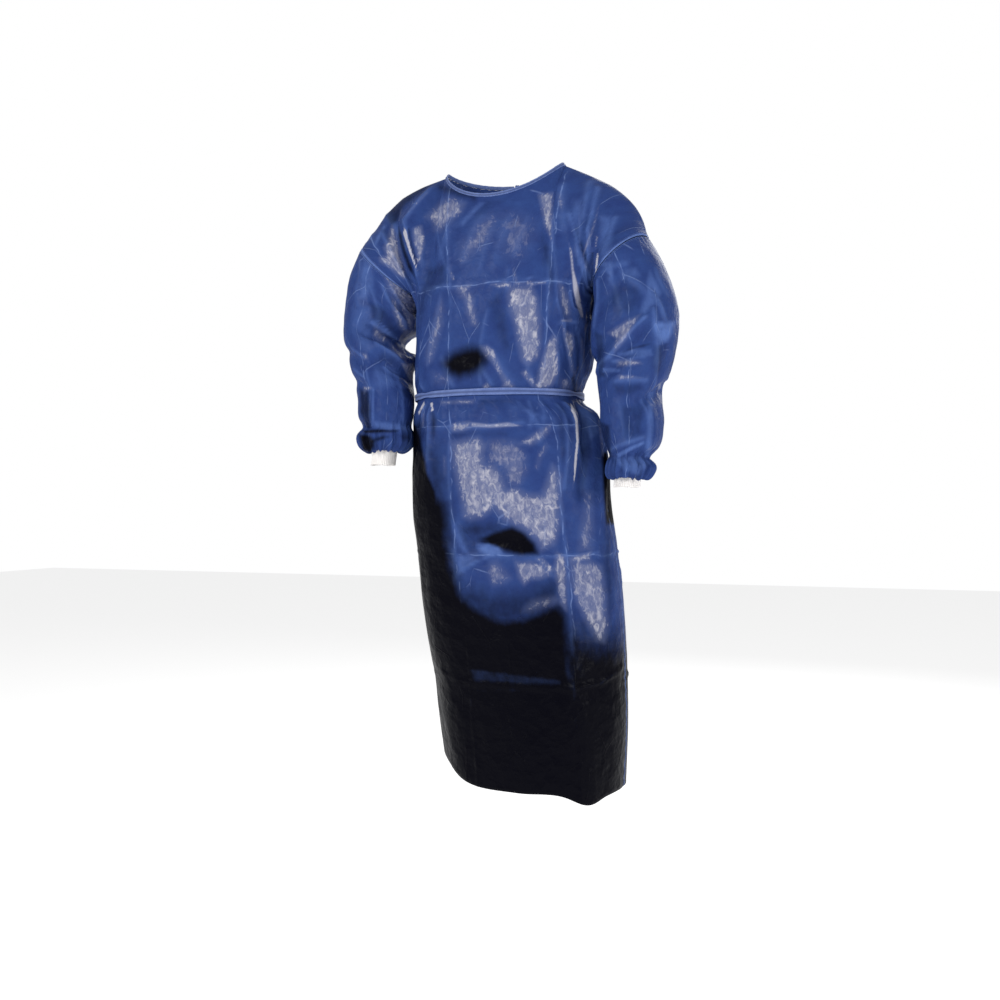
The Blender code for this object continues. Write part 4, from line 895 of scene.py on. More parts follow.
def top_point(around):
    """The body's upper edge: the neck edge and, beside it, the shoulder line down to the armhole."""
    side, away = np.sign(around), np.abs(around)
    from_front = np.minimum(away, 2.0 - away)
    turn = np.clip(from_front / NECK_AROUND, 0, 1) * np.pi / 2
    neck_x, neck_y, neck_z = neck_point(np.where(away > 1, np.pi - turn, turn))
    share = np.clip((from_front - NECK_AROUND) / (1 - NECK_AROUND), 0, 1)
    out = np.where(
        side > 0,
        through(SHOULDER_LEFT, "share", "out", share),
        through(SHOULDER_RIGHT, "share", "out", share),
    )
    drop = np.where(
        side > 0,
        through(SHOULDER_LEFT, "share", "drop", share),
        through(SHOULDER_RIGHT, "share", "drop", share),
    )
    on_neck = from_front < NECK_AROUND
    x = np.where(on_neck, neck_x * side, side * out)
    return x, np.where(on_neck, neck_y, 0.006 * share), np.where(on_neck, neck_z, -drop)


def level_of(height):
    """The level that lies at a height, below the underarm."""
    return (height + LENGTH) / (UNDERARM + LENGTH)


def body_base(around, level):
    """A point of the body surface before its folds."""
    around = wrapped(around)
    low = np.clip(level, 0, 1)
    from_front = np.minimum(np.abs(around), 2 - np.abs(around))
    dip = CHEST_DIP * ramp(1 - from_front, 0.0, 0.30) * ramp(low, level_of(WAIST + BELT_BAND), 1.0)
    height = -LENGTH + (LENGTH + UNDERARM) * low - dip
    x, y = ring_point(around, height)
    z = height + (through(HEM, "around", "height", around) + LENGTH) * (1 - low) ** 2
    share = (1 - np.cos(np.pi * np.clip(level - 1, 0, 1))) / 2
    top_x, top_y, top_z = top_point(around)
    on_shoulder = ramp(from_front, 0.25, 0.62)
    bend = 1.6 + 0.4 * on_shoulder
    fall = (1 - share**bend) ** (0.9 - 0.4 * on_shoulder)
    front_or_back = np.where(np.abs(around) > 1, 1.0, -1.0)
    armhole = 2 * ARMHOLE_HALF_DEPTH * np.sqrt(np.maximum(share * (1 - share), 0))
    lag = 2.0 - 0.65 * ramp(share, 0.0, 0.5)
    arm = front_or_back * armhole * np.clip((from_front - 0.5) / 0.5, 0, 1) ** lag
    from_side, climbed = 1 - from_front, np.clip(level - 1, 0, 1)
    pull = ARMHOLE_PULL * from_side * np.exp(-((from_side / 0.25) ** 2)) * np.sin(np.pi * climbed) ** 0.7
    upper = level > 1
    return np.stack(
        [
            np.where(upper, x + (top_x - x) * share - np.sign(around) * pull, x),
            np.where(upper, top_y + (y - top_y) * fall + arm, y),
            np.where(upper, z + (top_z - z) * share, z),
        ],
        axis=-1,
    )


def unit(vectors):
    """Vectors of length 1."""
    return vectors / np.linalg.norm(vectors, axis=-1, keepdims=True)


def body_normals(around, level):
    """Outward normals of the body surface, each read on its own side of the armhole."""
    behind, at_left, open_side = np.abs(around) > 1, around > 0, level > 1
    before, after = around - REACH, around + REACH
    before = np.where(open_side & ~behind, np.maximum(before, -1.0), before)
    after = np.where(open_side & ~behind, np.minimum(after, 1.0), after)
    before = np.where(open_side & behind & at_left, np.maximum(before, JUST_BEHIND), before)
    after = np.where(open_side & behind & ~at_left, np.minimum(after, -JUST_BEHIND), after)
    across = body_base(after, level) - body_base(before, level)
    further = STEP * np.where(level > 0.5, -1.0, 1.0)
    up = (body_base(around, level + further) - body_base(around, level)) / further[..., None]
    found = unit(np.cross(across, up))
    from_corner = np.minimum(np.abs(around), 2 - np.abs(around)) - NECK_AROUND
    at_corner = (ramp(level, 1.60, 1.95) * np.exp(-((from_corner / 0.20) ** 2)))[..., None]
    sideways = 0.3 * np.where(at_left, 1.0, -1.0)
    over_shoulder = np.stack([sideways, 0.0 * sideways, 0.95 + 0.0 * sideways], axis=-1)
    return unit(found * (1 - at_corner) + over_shoulder * at_corner)


def fold_relief(sideways, upwards, length_along, width, depth):
    """The height of one fold: a soft ridge or trough that dies away at its ends."""
    past_end = np.maximum(np.maximum(-upwards, upwards - length_along), 0.0)
    return depth * np.exp(-((sideways / width) ** 2) - (past_end / (1.5 * width)) ** 2)


def body_relief(around, level, height):
    """How far the folds and the pillows between the packet's creases stand out of the body."""
    around = wrapped(around)
    relief = lines_over(BODY_FOLDS, around, height, QUARTER)
    stops = [-LENGTH, *CREASE_HEIGHTS, UNDERARM]
    cell = np.interp(height, stops, range(len(stops)))
    sides = [CREASE_AROUNDS[-1] - 4, *CREASE_AROUNDS, CREASE_AROUNDS[0] + 4]
    column = np.interp(around, sides, range(len(sides)))
    pillow = np.abs(np.sin(cell * np.pi)) ** 0.7 * np.abs(np.sin(column * np.pi)) ** 0.7
    relief = relief + PILLOW * pillow * (height < UNDERARM)
    relief = relief * ramp(np.abs(height - WAIST), BELT_BAND, 3 * BELT_BAND)
    from_front = np.minimum(np.abs(around), 2 - np.abs(around))
    low_armhole = ramp(level, 0.86, 1.0) * (1 - 0.8 * ramp(level, 1.25, 1.5))
    near_armhole = np.maximum(ramp(from_front, 0.60, 0.80) * low_armhole, ramp(from_front, 0.88, 1.0))
    near_armhole = near_armhole * ramp(level, 0.86, 1.0)
    return relief * (1 - ramp(level, 1.72, 2.0)) * (1 - near_armhole)


def lap_lift(around, level, side):
    """The left back lies outside the right one where they lap, and they part at the neck's knot."""
    return side * LAP_LIFT * ramp(np.abs(around), 1.40, 1.80) * (1 - ramp(level, *LAP_PARTS))


def sleeve_base(sections, side, angle, along):
    """A point of a sleeve before its folds. angle is 0 at the outer edge and pi / 2 at the front."""
    read = {
        column: through(sections, "along", column, along)
        for column in Section._fields[1:]
    }
    sine, cosine = np.sin(angle), np.cos(angle)
    reach = roundness(sine, cosine, read["squareness"])
    middle_x = (read["outer_x"] + read["inner_x"]) / 2
    middle_z = (read["outer_z"] + read["inner_z"]) / 2
    x = middle_x + (read["outer_x"] - read["inner_x"]) / 2 * cosine * reach
    z = middle_z + (read["outer_z"] - read["inner_z"]) / 2 * cosine * reach
    y = read["middle_y"] - read["half_depth"] * sine * reach
    return np.stack([side * x, y, z], axis=-1)


def sleeve_relief(folds, sections, angle, along):
    """The folds of a sleeve, and the gathers at its cuff."""
    relief = np.zeros_like(along)
    radius = through(sections, "along", "half_depth", along)
    for fold in folds:
        turn = (fold.to_angle - fold.from_angle + np.pi) % (2 * np.pi) - np.pi
        from_start = (angle - fold.from_angle - turn / 2 + np.pi) % (2 * np.pi) - np.pi + turn / 2
        run = np.array([turn * 0.08, fold.to_along - fold.from_along])
        length = np.linalg.norm(run)
        run = run / length
        dx, dz = from_start * np.maximum(radius, 0.05), along - fold.from_along
        upwards = dx * run[0] + dz * run[1]
        sideways = dx * run[1] - dz * run[0]
        relief = relief + fold_relief(sideways, upwards, length, fold.width, fold.depth)
    length = sections[-1].along
    relief = relief * ramp(along, 0.0, 0.03) * (1 - ramp(along, length - 0.10, length - 0.06))
    rise, fall = (0.100, 0.060), (0.044, 0.016)
    gathered = ramp(length - along, *rise) - ramp(length - along, *fall)
    return relief + GATHER_HEIGHT * gathered * np.cos(SLEEVE_GATHERS * angle)


def sleeve_normals(sections, side, angle, along):
    """Outward normals of a sleeve before its folds."""
    here = sleeve_base(sections, side, angle, along)
    further = STEP * np.where(along > sections[-1].along / 2, -1.0, 1.0)
    round_edge = sleeve_base(sections, side, angle + STEP, along) - here
    along_edge = sleeve_base(sections, side, angle, along + further) - here
    return side * unit(np.cross(round_edge, along_edge / further[..., None]))


def neck_lean(turn):
    """The direction in which the binding stands up from the neck edge: upright, leaning inwards."""
    inward = 0.20 + 0.30 * np.sin(turn) ** 2
    up = np.sqrt(1 - inward**2)
    return np.stack([-inward * np.sin(turn), inward * np.cos(turn), up], axis=-1)


def waist_rise(around):
    """The belt's height: it rides a little higher at the front than at the sides."""
    return WAIST + 0.003 * np.cos(around * np.pi / 2)


def lines_over(lines, across, along, scale):
    """Folds or creases laid over a surface, each a line with rounded ends, as a sum."""
    total = np.zeros_like(along)
    for from_across, from_along, to_across, to_along, width, depth in lines:
        run = np.array([(to_across - from_across) * scale, to_along - from_along])
        length = np.linalg.norm(run)
        run = run / length
        dx, dz = (across - from_across) * scale, along - from_along
        upwards, sideways = dx * run[0] + dz * run[1], dx * run[1] - dz * run[0]
        total = total + fold_relief(sideways, upwards, length, width, depth)
    return total


def pale_lines(creases, across, along, scale):
    """How strongly the cloth's ridges are painted with highlight, from 0 to 1."""
    ridges = [crease for crease in creases if crease.depth > 0]
    return np.clip(lines_over(ridges, across, along, scale) / DEEP_CREASE, 0, 1)


def packet_creases(around, height):
    """Thin ridges along the packet's folds. They wander a little, and fade in places."""
    total = np.zeros_like(height)
    for number, at in enumerate(CREASE_AROUNDS):
        wander = 0.010 * np.sin(9 * height + 2.1 * number) + 0.005 * np.sin(27 * height + number)
        away = (around - at - wander + 2) % 4 - 2
        strength = 0.65 + 0.35 * np.sin(13 * height + 1.7 * number)
        total = total + strength * np.exp(-((away * QUARTER / PACKET_WIDTH) ** 2))
    for number, at in enumerate((*CREASE_HEIGHTS, UNDERARM)):
        wander = 0.003 * np.sin(6 * around + number) + 0.0015 * np.sin(17 * around + 2 * number)
        strength = 0.60 + 0.40 * np.sin(7 * around + 1.3 * number)
        total = total + strength * np.exp(-(((height - at - wander) / PACKET_WIDTH) ** 2))
    return total


def crumple(across, along, seed):
    """Uneven ridges and dents that thin film-faced cloth keeps from handling, from about -1 to 1."""
    places = zip(across.ravel().tolist(), along.ravel().tolist())
    wide, high = CRUMPLE_SIZE
    small_wide, small_high = DENT_SIZE
    found = [
        (
            noise.noise((a / wide, b / high, seed)),
            noise.noise((a / small_wide, b / small_high, seed + 7.0)),
        )
        for a, b in places
    ]
    broad, small = np.array(found).T.reshape(2, *across.shape)
    return (1 - 3.2 * np.abs(broad)) * 0.7, (1 - 3.0 * np.abs(small)) * 0.5


def waist_pleats(around, height):
    """Short, uneven pleats that the belt gathers, above and below it all round."""
    pick = np.random.default_rng(11)
    total = np.zeros_like(height)
    for number in range(WAIST_PLEATS):
        at = -2 + 4 * (number + pick.uniform(0.15, 0.85)) / WAIST_PLEATS
        above = number % 2
        start = WAIST + (1 if above else -1) * BELT_BAND
        reach = pick.uniform(0.020, 0.055) if above else pick.uniform(0.025, 0.095)
        end = start + (reach if above else -reach)
        lean = pick.uniform(-0.05, 0.05)
        width, depth = pick.uniform(0.0040, 0.0075), pick.uniform(0.0008, 0.0026)
        away = (around - at + 2) % 4 - 2
        run = np.array([lean * QUARTER, end - start])
        length = np.linalg.norm(run)
        run = run / length
        dx, dz = away * QUARTER, height - start
        upwards, sideways = dx * run[0] + dz * run[1], dx * run[1] - dz * run[0]
        fading = 1 - ramp(upwards / length, 0.2, 1.1)
        total = total + fold_relief(sideways, upwards, length, width, depth) * fading
    return total


def fine_body_relief(around, level, height):
    """The creases that are too fine for the solids, kept off the seams, the belt and the neck edge."""
    settings = bpy.context.scene.gown_cloth
    turn = wrapped(around)
    creases = lines_over(BODY_CREASES, turn, height, QUARTER)
    packet = PACKET_RIDGE * packet_creases(turn, height)
    broad, small = crumple(around * QUARTER, height, BODY_SEED)
    calm = 0.35 + 0.65 * ramp(height, -1.05, -0.55)
    near_waist = np.exp(-(((height - WAIST) / 0.10) ** 2))
    crumples = settings.crumple_depth * (calm * broad + (0.45 + 0.8 * near_waist) * 0.5 * small)
    relief = settings.crease_depth * (creases + packet) + crumples + waist_pleats(turn, height)
    from_front = np.minimum(np.abs(turn), 2 - np.abs(turn))
    off_belt = ramp(np.abs(height - WAIST), 0.55 * BELT_BAND, 1.25 * BELT_BAND)
    from_seam = np.abs(1 - from_front) * QUARTER
    off_seam = ramp(from_seam, 0.001, 0.014)
    off_top = 1 - ramp(level, 1.90, 2.0)
    pucker = 0.0009 * np.sin(height * 310 + 2.5 * np.sin(height * 57)) * np.exp(-((from_seam / 0.012) ** 2))
    pucker = pucker * ramp(from_seam, 0.0, 0.004)
    rise = (relief * off_seam + pucker) * off_belt * off_top
    # Painted highlight along the fine ridges and the packet's creases
    highlight_and_wander = pale_lines(BODY_CREASES, turn, height, QUARTER)
    return rise, np.clip(highlight_and_wander + 0.6 * packet / PACKET_RIDGE, 0, 1) * off_belt


def in_picture(points):
    """Where points stand in the camera's picture, in pixels of 1000 by 1000."""
    ahead = np.array(CAMERA_AHEAD)
    right = np.array([ahead[1], -ahead[0], 0.0])
    from_camera = points - np.array(CAMERA_PLACE)
    distance = from_camera @ ahead
    pixels = CAMERA_LENS / 36.0 * 1000
    return 500 + pixels * (from_camera @ right) / distance, 500 - pixels * from_camera[..., 2] / distance


def patches_over(table, x, y, asked):
    """The strength of the patch that shows most at each point asked for, and how deep the point is in it.

    The depth goes from -1, well outside a patch, to 1, well inside it."""
    strength, depth, best = np.zeros(x.shape), np.full(x.shape, -1.0), np.zeros(x.shape)
    for patch in table:
        corners = patch.outline
        (low_x, low_y), (high_x, high_y) = corners.min(axis=0) - patch.soft, corners.max(axis=0) + patch.soft
        near = asked & (x > low_x) & (x < high_x) & (y > low_y) & (y < high_y)
        px, py = x[near], y[near]
        inside = np.zeros(px.shape, bool)
        away = np.full(px.shape, np.inf)
        for (ax, ay), (bx, by) in zip(corners, np.roll(corners, -1, axis=0)):
            run_x, run_y = bx - ax, by - ay
            share = np.clip(((px - ax) * run_x + (py - ay) * run_y) / (run_x**2 + run_y**2), 0, 1)
            away = np.minimum(away, np.hypot(px - ax - share * run_x, py - ay - share * run_y))
            if ay != by:
                inside ^= ((ay > py) != (by > py)) & (px < ax + (py - ay) * run_x / run_y)
        deep = np.clip(np.where(inside, away, -away) / patch.soft, -1, 1)
        shows = patch.strength * (1 + deep)
        better = shows > best[near]
        for kept, found in ((strength, patch.strength), (depth, deep), (best, shows)):
            kept[near] = np.where(better, found, kept[near])
    return strength, depth


def marks_over(points, normals, seen_patches, round_and_down, hidden_patches):
    """The painted highlight patches' strength and depth, the painted shade and gleam, and how far the cloth
    faces the camera."""
    x, y = in_picture(points)
    turned_away = normals @ np.array(CAMERA_AHEAD)
    seen = turned_away < SEEN_LIMIT
    found = []
    for shown, hidden in zip(seen_patches, hidden_patches):
        strength, depth = patches_over(shown, x, y, seen)
        behind, behind_depth = patches_over(hidden, *round_and_down, ~seen)
        found.append((strength + behind, np.where(seen, depth, behind_depth)))
    (cloud, rim), *others = found
    dark, light = (strength * (0.5 + 0.5 * depth) for strength, depth in others)
    return cloud, rim, dark, light, 1 - ramp(turned_away, SEEN_LIMIT - SEEN_FADE, SEEN_LIMIT)


def body_marks(around, height, points, normals):
    """The painted highlight, its rim, the painted shade and the gleam at each place of the body."""
    turn = wrapped(around)
    flat = turn * QUARTER / FLAT_STEP, -height / FLAT_STEP
    cloud, rim, dark, light, facing = marks_over(
        points, normals, (BODY_HIGHLIGHTS, BODY_SHADE, BODY_GLEAM), flat, (BACK_HIGHLIGHTS, BACK_SHADE, BACK_GLEAM)
    )
    # On the sides that the camera doesn't see, painted shade darkens the skirt below the dark edge
    edge = through(DARK_EDGE, "around", "height", turn)
    depth = through(DARK_EDGE, "around", "depth", turn)
    below = ramp(edge - height, -0.2 * depth, 1.3 * depth) * 0.94
    shade = dark * facing + np.maximum(dark, below) * (1 - facing)
    return cloud, rim, np.clip(shade - BODY_LIFTED * light, 0, 1), light


def with_clusters(values, centres, offsets, keep):
    """Even values with a few more beside each centre, so that a thin crease has points to bend at."""
    reach = max(offsets)
    away = np.min(np.abs(values[:, None] - np.array(centres)[None, :]), axis=1)
    rest = values[away > reach * 1.2]
    extra = np.array([c + s * o for c in centres for o in offsets for s in (-1, 1)] + list(keep))
    extra = extra[(extra >= values[0]) & (extra <= values[-1])]
    every = np.unique(np.concatenate([rest, extra, [values[0], values[-1]]]))
    apart = np.concatenate([[True], np.diff(every) > reach * 0.15])
    must = np.isin(every, list(keep) + [values[-1]])
    return every[apart | must]


def linked(name, data):
    """A new object in the scene."""
    made = bpy.data.objects.new(name, data)
    bpy.context.scene.collection.objects.link(made)
    return made


def mark_points(mesh, key, values):
    """Gives each point of a mesh a number that its material or tree reads."""
    mesh.attributes.new(key, "FLOAT", "POINT").data.foreach_set("value", values.astype(np.float32))


def face_outwards(mesh):
    """Points all faces of a closed mesh outwards."""
    shape = bmesh.new()
    shape.from_mesh(mesh)
    bmesh.ops.recalc_face_normals(shape, faces=shape.faces)
    shape.to_mesh(mesh)
    shape.free()


def cloth_piece(name, points, faces, marks, flat, material):
    """A smooth piece with its marks, and with its flat pattern in metres as a UV map."""
    mesh = bpy.data.meshes.new(name)
    mesh.from_pydata(points.reshape(-1, 3).tolist(), [], faces)
    mesh.shade_smooth()
    for key, values in marks.items():
        mark_points(mesh, key, values)
    corners = np.empty(len(mesh.loops), np.int32)
    mesh.loops.foreach_get("vertex_index", corners)
    mesh.uv_layers.new(name="flat").data.foreach_set("uv", flat[corners].astype(np.float32).ravel())
    mesh.materials.append(material)
    made = linked(name, mesh)
    return made


def shell_object(name, outer, inner, closed, marks, places, material):
    """A thin closed shell between two grids of points, with its marks and its flat pattern as a UV map."""
    rows, columns = outer.shape[:2]
    count = rows * columns
    index = np.arange(count).reshape(rows, columns)
    right = np.roll(index, -1, axis=1) if closed else index[:, 1:]
    left = index if closed else index[:, :-1]
    quads = np.stack([left[:-1], right[:-1], right[1:], left[1:]], axis=-1).reshape(-1, 4)
    faces = [quads, quads[:, ::-1] + count]
    edges = [index[0], index[-1][::-1]]
    if not closed:
        edges += [index[:, -1], index[::-1, 0]]
    for edge in edges:
        line = np.append(edge, edge[0]) if closed else edge
        faces.append(np.stack([line[1:], line[:-1], line[:-1] + count, line[1:] + count], axis=-1))
    points = np.concatenate([outer.reshape(-1, 3), inner.reshape(-1, 3)])
    marks = {key: np.tile(values.ravel(), 2) for key, values in marks.items()}
    flat = np.tile(places.reshape(-1, 2), (2, 1))
    return cloth_piece(name, points, np.concatenate(faces).tolist(), marks, flat, material)


def settle(piece, *nodes):
    """The piece rides on the gown's only body, and stands for its nodes."""
    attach(piece, "root")
    if nodes:
        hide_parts(*nodes)


def panel_rows():
    """The levels of a body panel's rows, close together where the packet's creases cross."""
    low = np.linspace(0, 1, int((LENGTH + UNDERARM) / ROW_PITCH))
    heights = [level_of(h) for h in (*CREASE_HEIGHTS, WAIST - BELT_BAND, WAIST + BELT_BAND)]
    low = with_clusters(low, heights, (0.0, 0.0022, 0.0050), ())
    return np.concatenate([low, np.linspace(1.09, 2, 53)])


def face_of_body(around, level, lift):
    """Points of the finished face of the body cloth, their normals, heights, and how strongly their ridges
    are painted with highlight.
    """
    base = body_base(around, level)
    height, normals = base[..., 2], body_normals(around, level)
    rise, highlight_and_wander = fine_body_relief(around, level, height)
    relief = body_relief(around, level, height) + lift + rise
    return base + normals * relief[..., None], normals, height, highlight_and_wander


def film_faced_shell(name, outer, normals, closed, marks, highlight_and_wander, places):
    """A shell of the blue cloth. marks are the painted highlight, its rim, the painted shade, the gleam and
    the seam.
    """
    cloud, rim, shade, gleam, seam = marks
    # The ridges' painted highlight and the gleam share one mark
    kept = (cloud, rim, shade, np.maximum(RIDGE_HIGHLIGHT * highlight_and_wander, gleam), np.minimum(1000 * seam, SEAM_REACH))
    return shell_object(name, outer, outer - normals * CLOTH, closed, dict(zip(MARKS, kept)), places,
                        film_faced_nonwoven())


def add_body_panel(name, around, level, lift):
    """A panel of the body: the solid's own surface with the fine creases on it."""
    outer, normals, height, highlight_and_wander = face_of_body(around, level, lift)
    from_seam = QUARTER * np.abs(1 - np.abs(wrapped(around)))
    marks = (*body_marks(around, height, outer, normals), from_seam)
    places = np.stack([around * QUARTER, height], axis=-1)
    return film_faced_shell(name, outer, normals, False, marks, highlight_and_wander, places)


def front_grid():
    """around and level of the front's points."""
    edge = 1 - SEAM_GAP / 2 / QUARTER
    even = np.linspace(-edge, edge, int(2 * QUARTER / COLUMN_PITCH))
    columns = with_clusters(even, CREASE_AROUNDS[1:5], (0.0, 0.007, 0.016), (-NECK_AROUND, NECK_AROUND))
    return np.meshgrid(columns, panel_rows())


def back_grid(side):
    """around and level of a back's points, from the side seam to its free edge."""
    rows = panel_rows()
    start, shoulder = 1 + SEAM_GAP / 2 / QUARTER, 2 - NECK_AROUND
    free = 2 + through(FREE_EDGE, "level", "past", rows)[:, None]
    outer_columns = int((shoulder - start) * QUARTER / COLUMN_PITCH)
    to_shoulder = np.linspace(start, shoulder, outer_columns)[None, :] + np.zeros_like(free)
    share = np.linspace(0, 1, int(0.70 * QUARTER / COLUMN_PITCH))[None, 1:]
    around = np.concatenate([to_shoulder, shoulder + (free - shoulder) * share], axis=1)
    level = np.repeat(rows[:, None], around.shape[1], axis=1)
    return (around, level) if side > 0 else (-around[:, ::-1], level)


def add_sleeve_shell(name, sections, folds, creases, seen_patches, side, seed):
    """A sleeve, with its gathers and the bloused end over the cuff."""
    length = sections[-1].along
    alongs = np.linspace(2 * SEAM_GAP, length, int(length / SLEEVE_ROW_PITCH))
    angles = np.arange(SLEEVE_COLUMNS) * 2 * np.pi / SLEEVE_COLUMNS
    angle, along = np.meshgrid(angles[::-side], alongs[::-1])
    base = sleeve_base(sections, side, angle, along)
    middle = base[-1].mean(axis=0)
    base[-1] += (middle - base[-1]) * SET_IN
    normals = sleeve_normals(sections, side, angle, along)
    relief = sleeve_relief(folds, sections, angle, along)
    fine = lines_over(creases, angle, along, SLEEVE_CREASE_RADIUS)
    ring = SLEEVE_RADIUS * np.cos(angle), SLEEVE_RADIUS * np.sin(angle) + along
    broad, small = crumple(*ring, SLEEVE_SEED + seed)
    settings = bpy.context.scene.gown_cloth
    low = ramp(along, length - 0.11, length - 0.05)
    off_ends = ramp(along, 0.002, 0.020) * (1 - 0.85 * low)
    wrinkles = settings.crease_depth * fine + settings.crumple_depth * (broad + 0.5 * small)
    uneven = 0.6 + 0.4 * np.sin(5 * angle + seed) + 0.3 * np.sin(3 * angle + 2 * seed)
    phase = SLEEVE_GATHERS * angle + 0.9 * np.sin(4 * angle + seed)
    held = uneven * low * (1 - ramp(along, length - 0.020, length - 0.004))
    gathers = held * (FINE_GATHER * np.cos(2 * phase) + DEEP_GATHER * np.cos(phase))
    pucker = 0.0008 * np.sin(46 * angle + 2 * np.sin(9 * angle)) * np.exp(-((along / 0.012) ** 2))
    pucker = pucker * ramp(along, 0.0006, 0.004)
    outer = base + normals * (relief + wrinkles * off_ends + gathers + pucker)[..., None]
    highlight_and_wander = pale_lines(creases, angle, along, SLEEVE_CREASE_RADIUS)
    round_shift, along_shift = SLEEVE_SHIFT
    flat = (angle * SLEEVE_RADIUS - round_shift * side) / FLAT_STEP, (along - along_shift * side) / FLAT_STEP
    hidden = SLEEVE_HIDDEN_HIGHLIGHTS, SLEEVE_HIDDEN_SHADE, SLEEVE_HIDDEN_GLEAM
    cloud, rim, dark, light, facing = marks_over(outer, normals, seen_patches, flat, hidden)
    # Painted shade on the sleeve's inner side, towards the body, where the camera doesn't see it
    inner_shade = 0.35 * np.exp(-(((angle - np.pi) / 0.7) ** 2)) * ramp(along, 0.10, 0.30)
    shade = np.clip(np.maximum(dark, inner_shade * (1 - facing)) - SLEEVE_LIFTED * light, 0, 1)
    places = np.stack([angle * SLEEVE_RADIUS, along], axis=-1)
    return film_faced_shell(name, outer, normals, True, (cloud, rim, shade, light, along), highlight_and_wander, places)


def add_node(tree, kind, settings=None, values=None, links=None):
    """Adds a node, sets its options and its unlinked sockets, and links its other sockets."""
    node = tree.nodes.new(kind)
    for key, value in (settings or {}).items():
        setattr(node, key, value)
    for key, value in (values or {}).items():
        node.inputs[key].default_value = value
    for key, socket in (links or {}).items():
        tree.links.new(socket, node.inputs[key])
    return node


def new_material(name):
    """An empty material, or None for the tree where it has been made before."""
    found = bpy.data.materials.get(name)
    if found:
        return found, None
    made = bpy.data.materials.new(name)
    made.use_nodes = True
    made.node_tree.nodes.clear()
    return made, made.node_tree


def finish_with(tree, values, links=None):
    """Ends a material in a shader with these values and links."""
    shader = add_node(tree, "ShaderNodeBsdfPrincipled", None, values, links)
    add_node(tree, "ShaderNodeOutputMaterial", links={"Surface": shader.outputs[0]})


def flat_pattern(tree):
    """The piece's flat pattern, in millimetres."""
    flat = add_node(tree, "ShaderNodeUVMap", {"uv_map": "flat"})
    return add_node(tree, "ShaderNodeVectorMath", {"operation": "SCALE"}, {"Scale": 1000.0},
                    {0: flat.outputs["UV"]}).outputs[0]


def blended(tree, share, first, second):
    """One colour over another, by a share from 0 to 1. Each is a socket or a fixed colour."""
    mix = add_node(tree, "ShaderNodeMix", {"data_type": "RGBA"}, links={"Factor": share})
    for socket, colour in ((mix.inputs[6], first), (mix.inputs[7], second)):
        if isinstance(colour, bpy.types.NodeSocket):
            tree.links.new(colour, socket)
        else:
            socket.default_value = (*colour, 1.0)
    return mix.outputs[2]


def worked(tree, operation, *terms, clamp=False):
    """Arithmetic on sockets and numbers."""
    node = add_node(tree, "ShaderNodeMath", {"operation": operation, "use_clamp": clamp})
    for number, term in enumerate(terms):
        if isinstance(term, bpy.types.NodeSocket):
            tree.links.new(term, node.inputs[number])
        else:
            node.inputs[number].default_value = term
    return node.outputs[0]


def grain(tree, where, size, **values):
    """Noise whose features are about size millimetres wide."""
    values = {"Scale": 1.0 / size, **values}
    return add_node(tree, "ShaderNodeTexNoise", values=values, links={"Vector": where}).outputs["Fac"]


def soft_step(tree, value, start, end):
    """0 before start and 1 after end, with a smooth rise between them. Start may be the higher one."""
    node = add_node(tree, "ShaderNodeMapRange", {"interpolation_type": "SMOOTHSTEP"},
                    {"From Min": start, "From Max": end}, {"Value": value})
    return node.outputs["Result"]


def packet_lines(tree, where):
    """Painted highlight: pale lines, about 1.5 mm wide, along the creases where the cloth was folded in its
    packet.
    """
    split = add_node(tree, "ShaderNodeSeparateXYZ", links={0: where})
    highlight_and_wander = grain(tree, where, 45.0, Detail=2.0)
    stray = worked(tree, "MULTIPLY_ADD", highlight_and_wander, 16.0, -8.0)
    found = None
    for socket, places in (
        (split.outputs[0], [1000 * QUARTER * at for at in CREASE_AROUNDS]),
        (split.outputs[1], [1000 * at for at in (*CREASE_HEIGHTS, UNDERARM)]),
    ):
        strayed = worked(tree, "ADD", socket, stray)
        for place in places:
            away = worked(tree, "ABSOLUTE", worked(tree, "SUBTRACT", strayed, place))
            line = soft_step(tree, away, 1.7, 0.3)
            found = line if found is None else worked(tree, "MAXIMUM", found, line)
    return worked(tree, "MULTIPLY", found, soft_step(tree, grain(tree, where, 24.0, Detail=3.0), 0.40, 0.58))


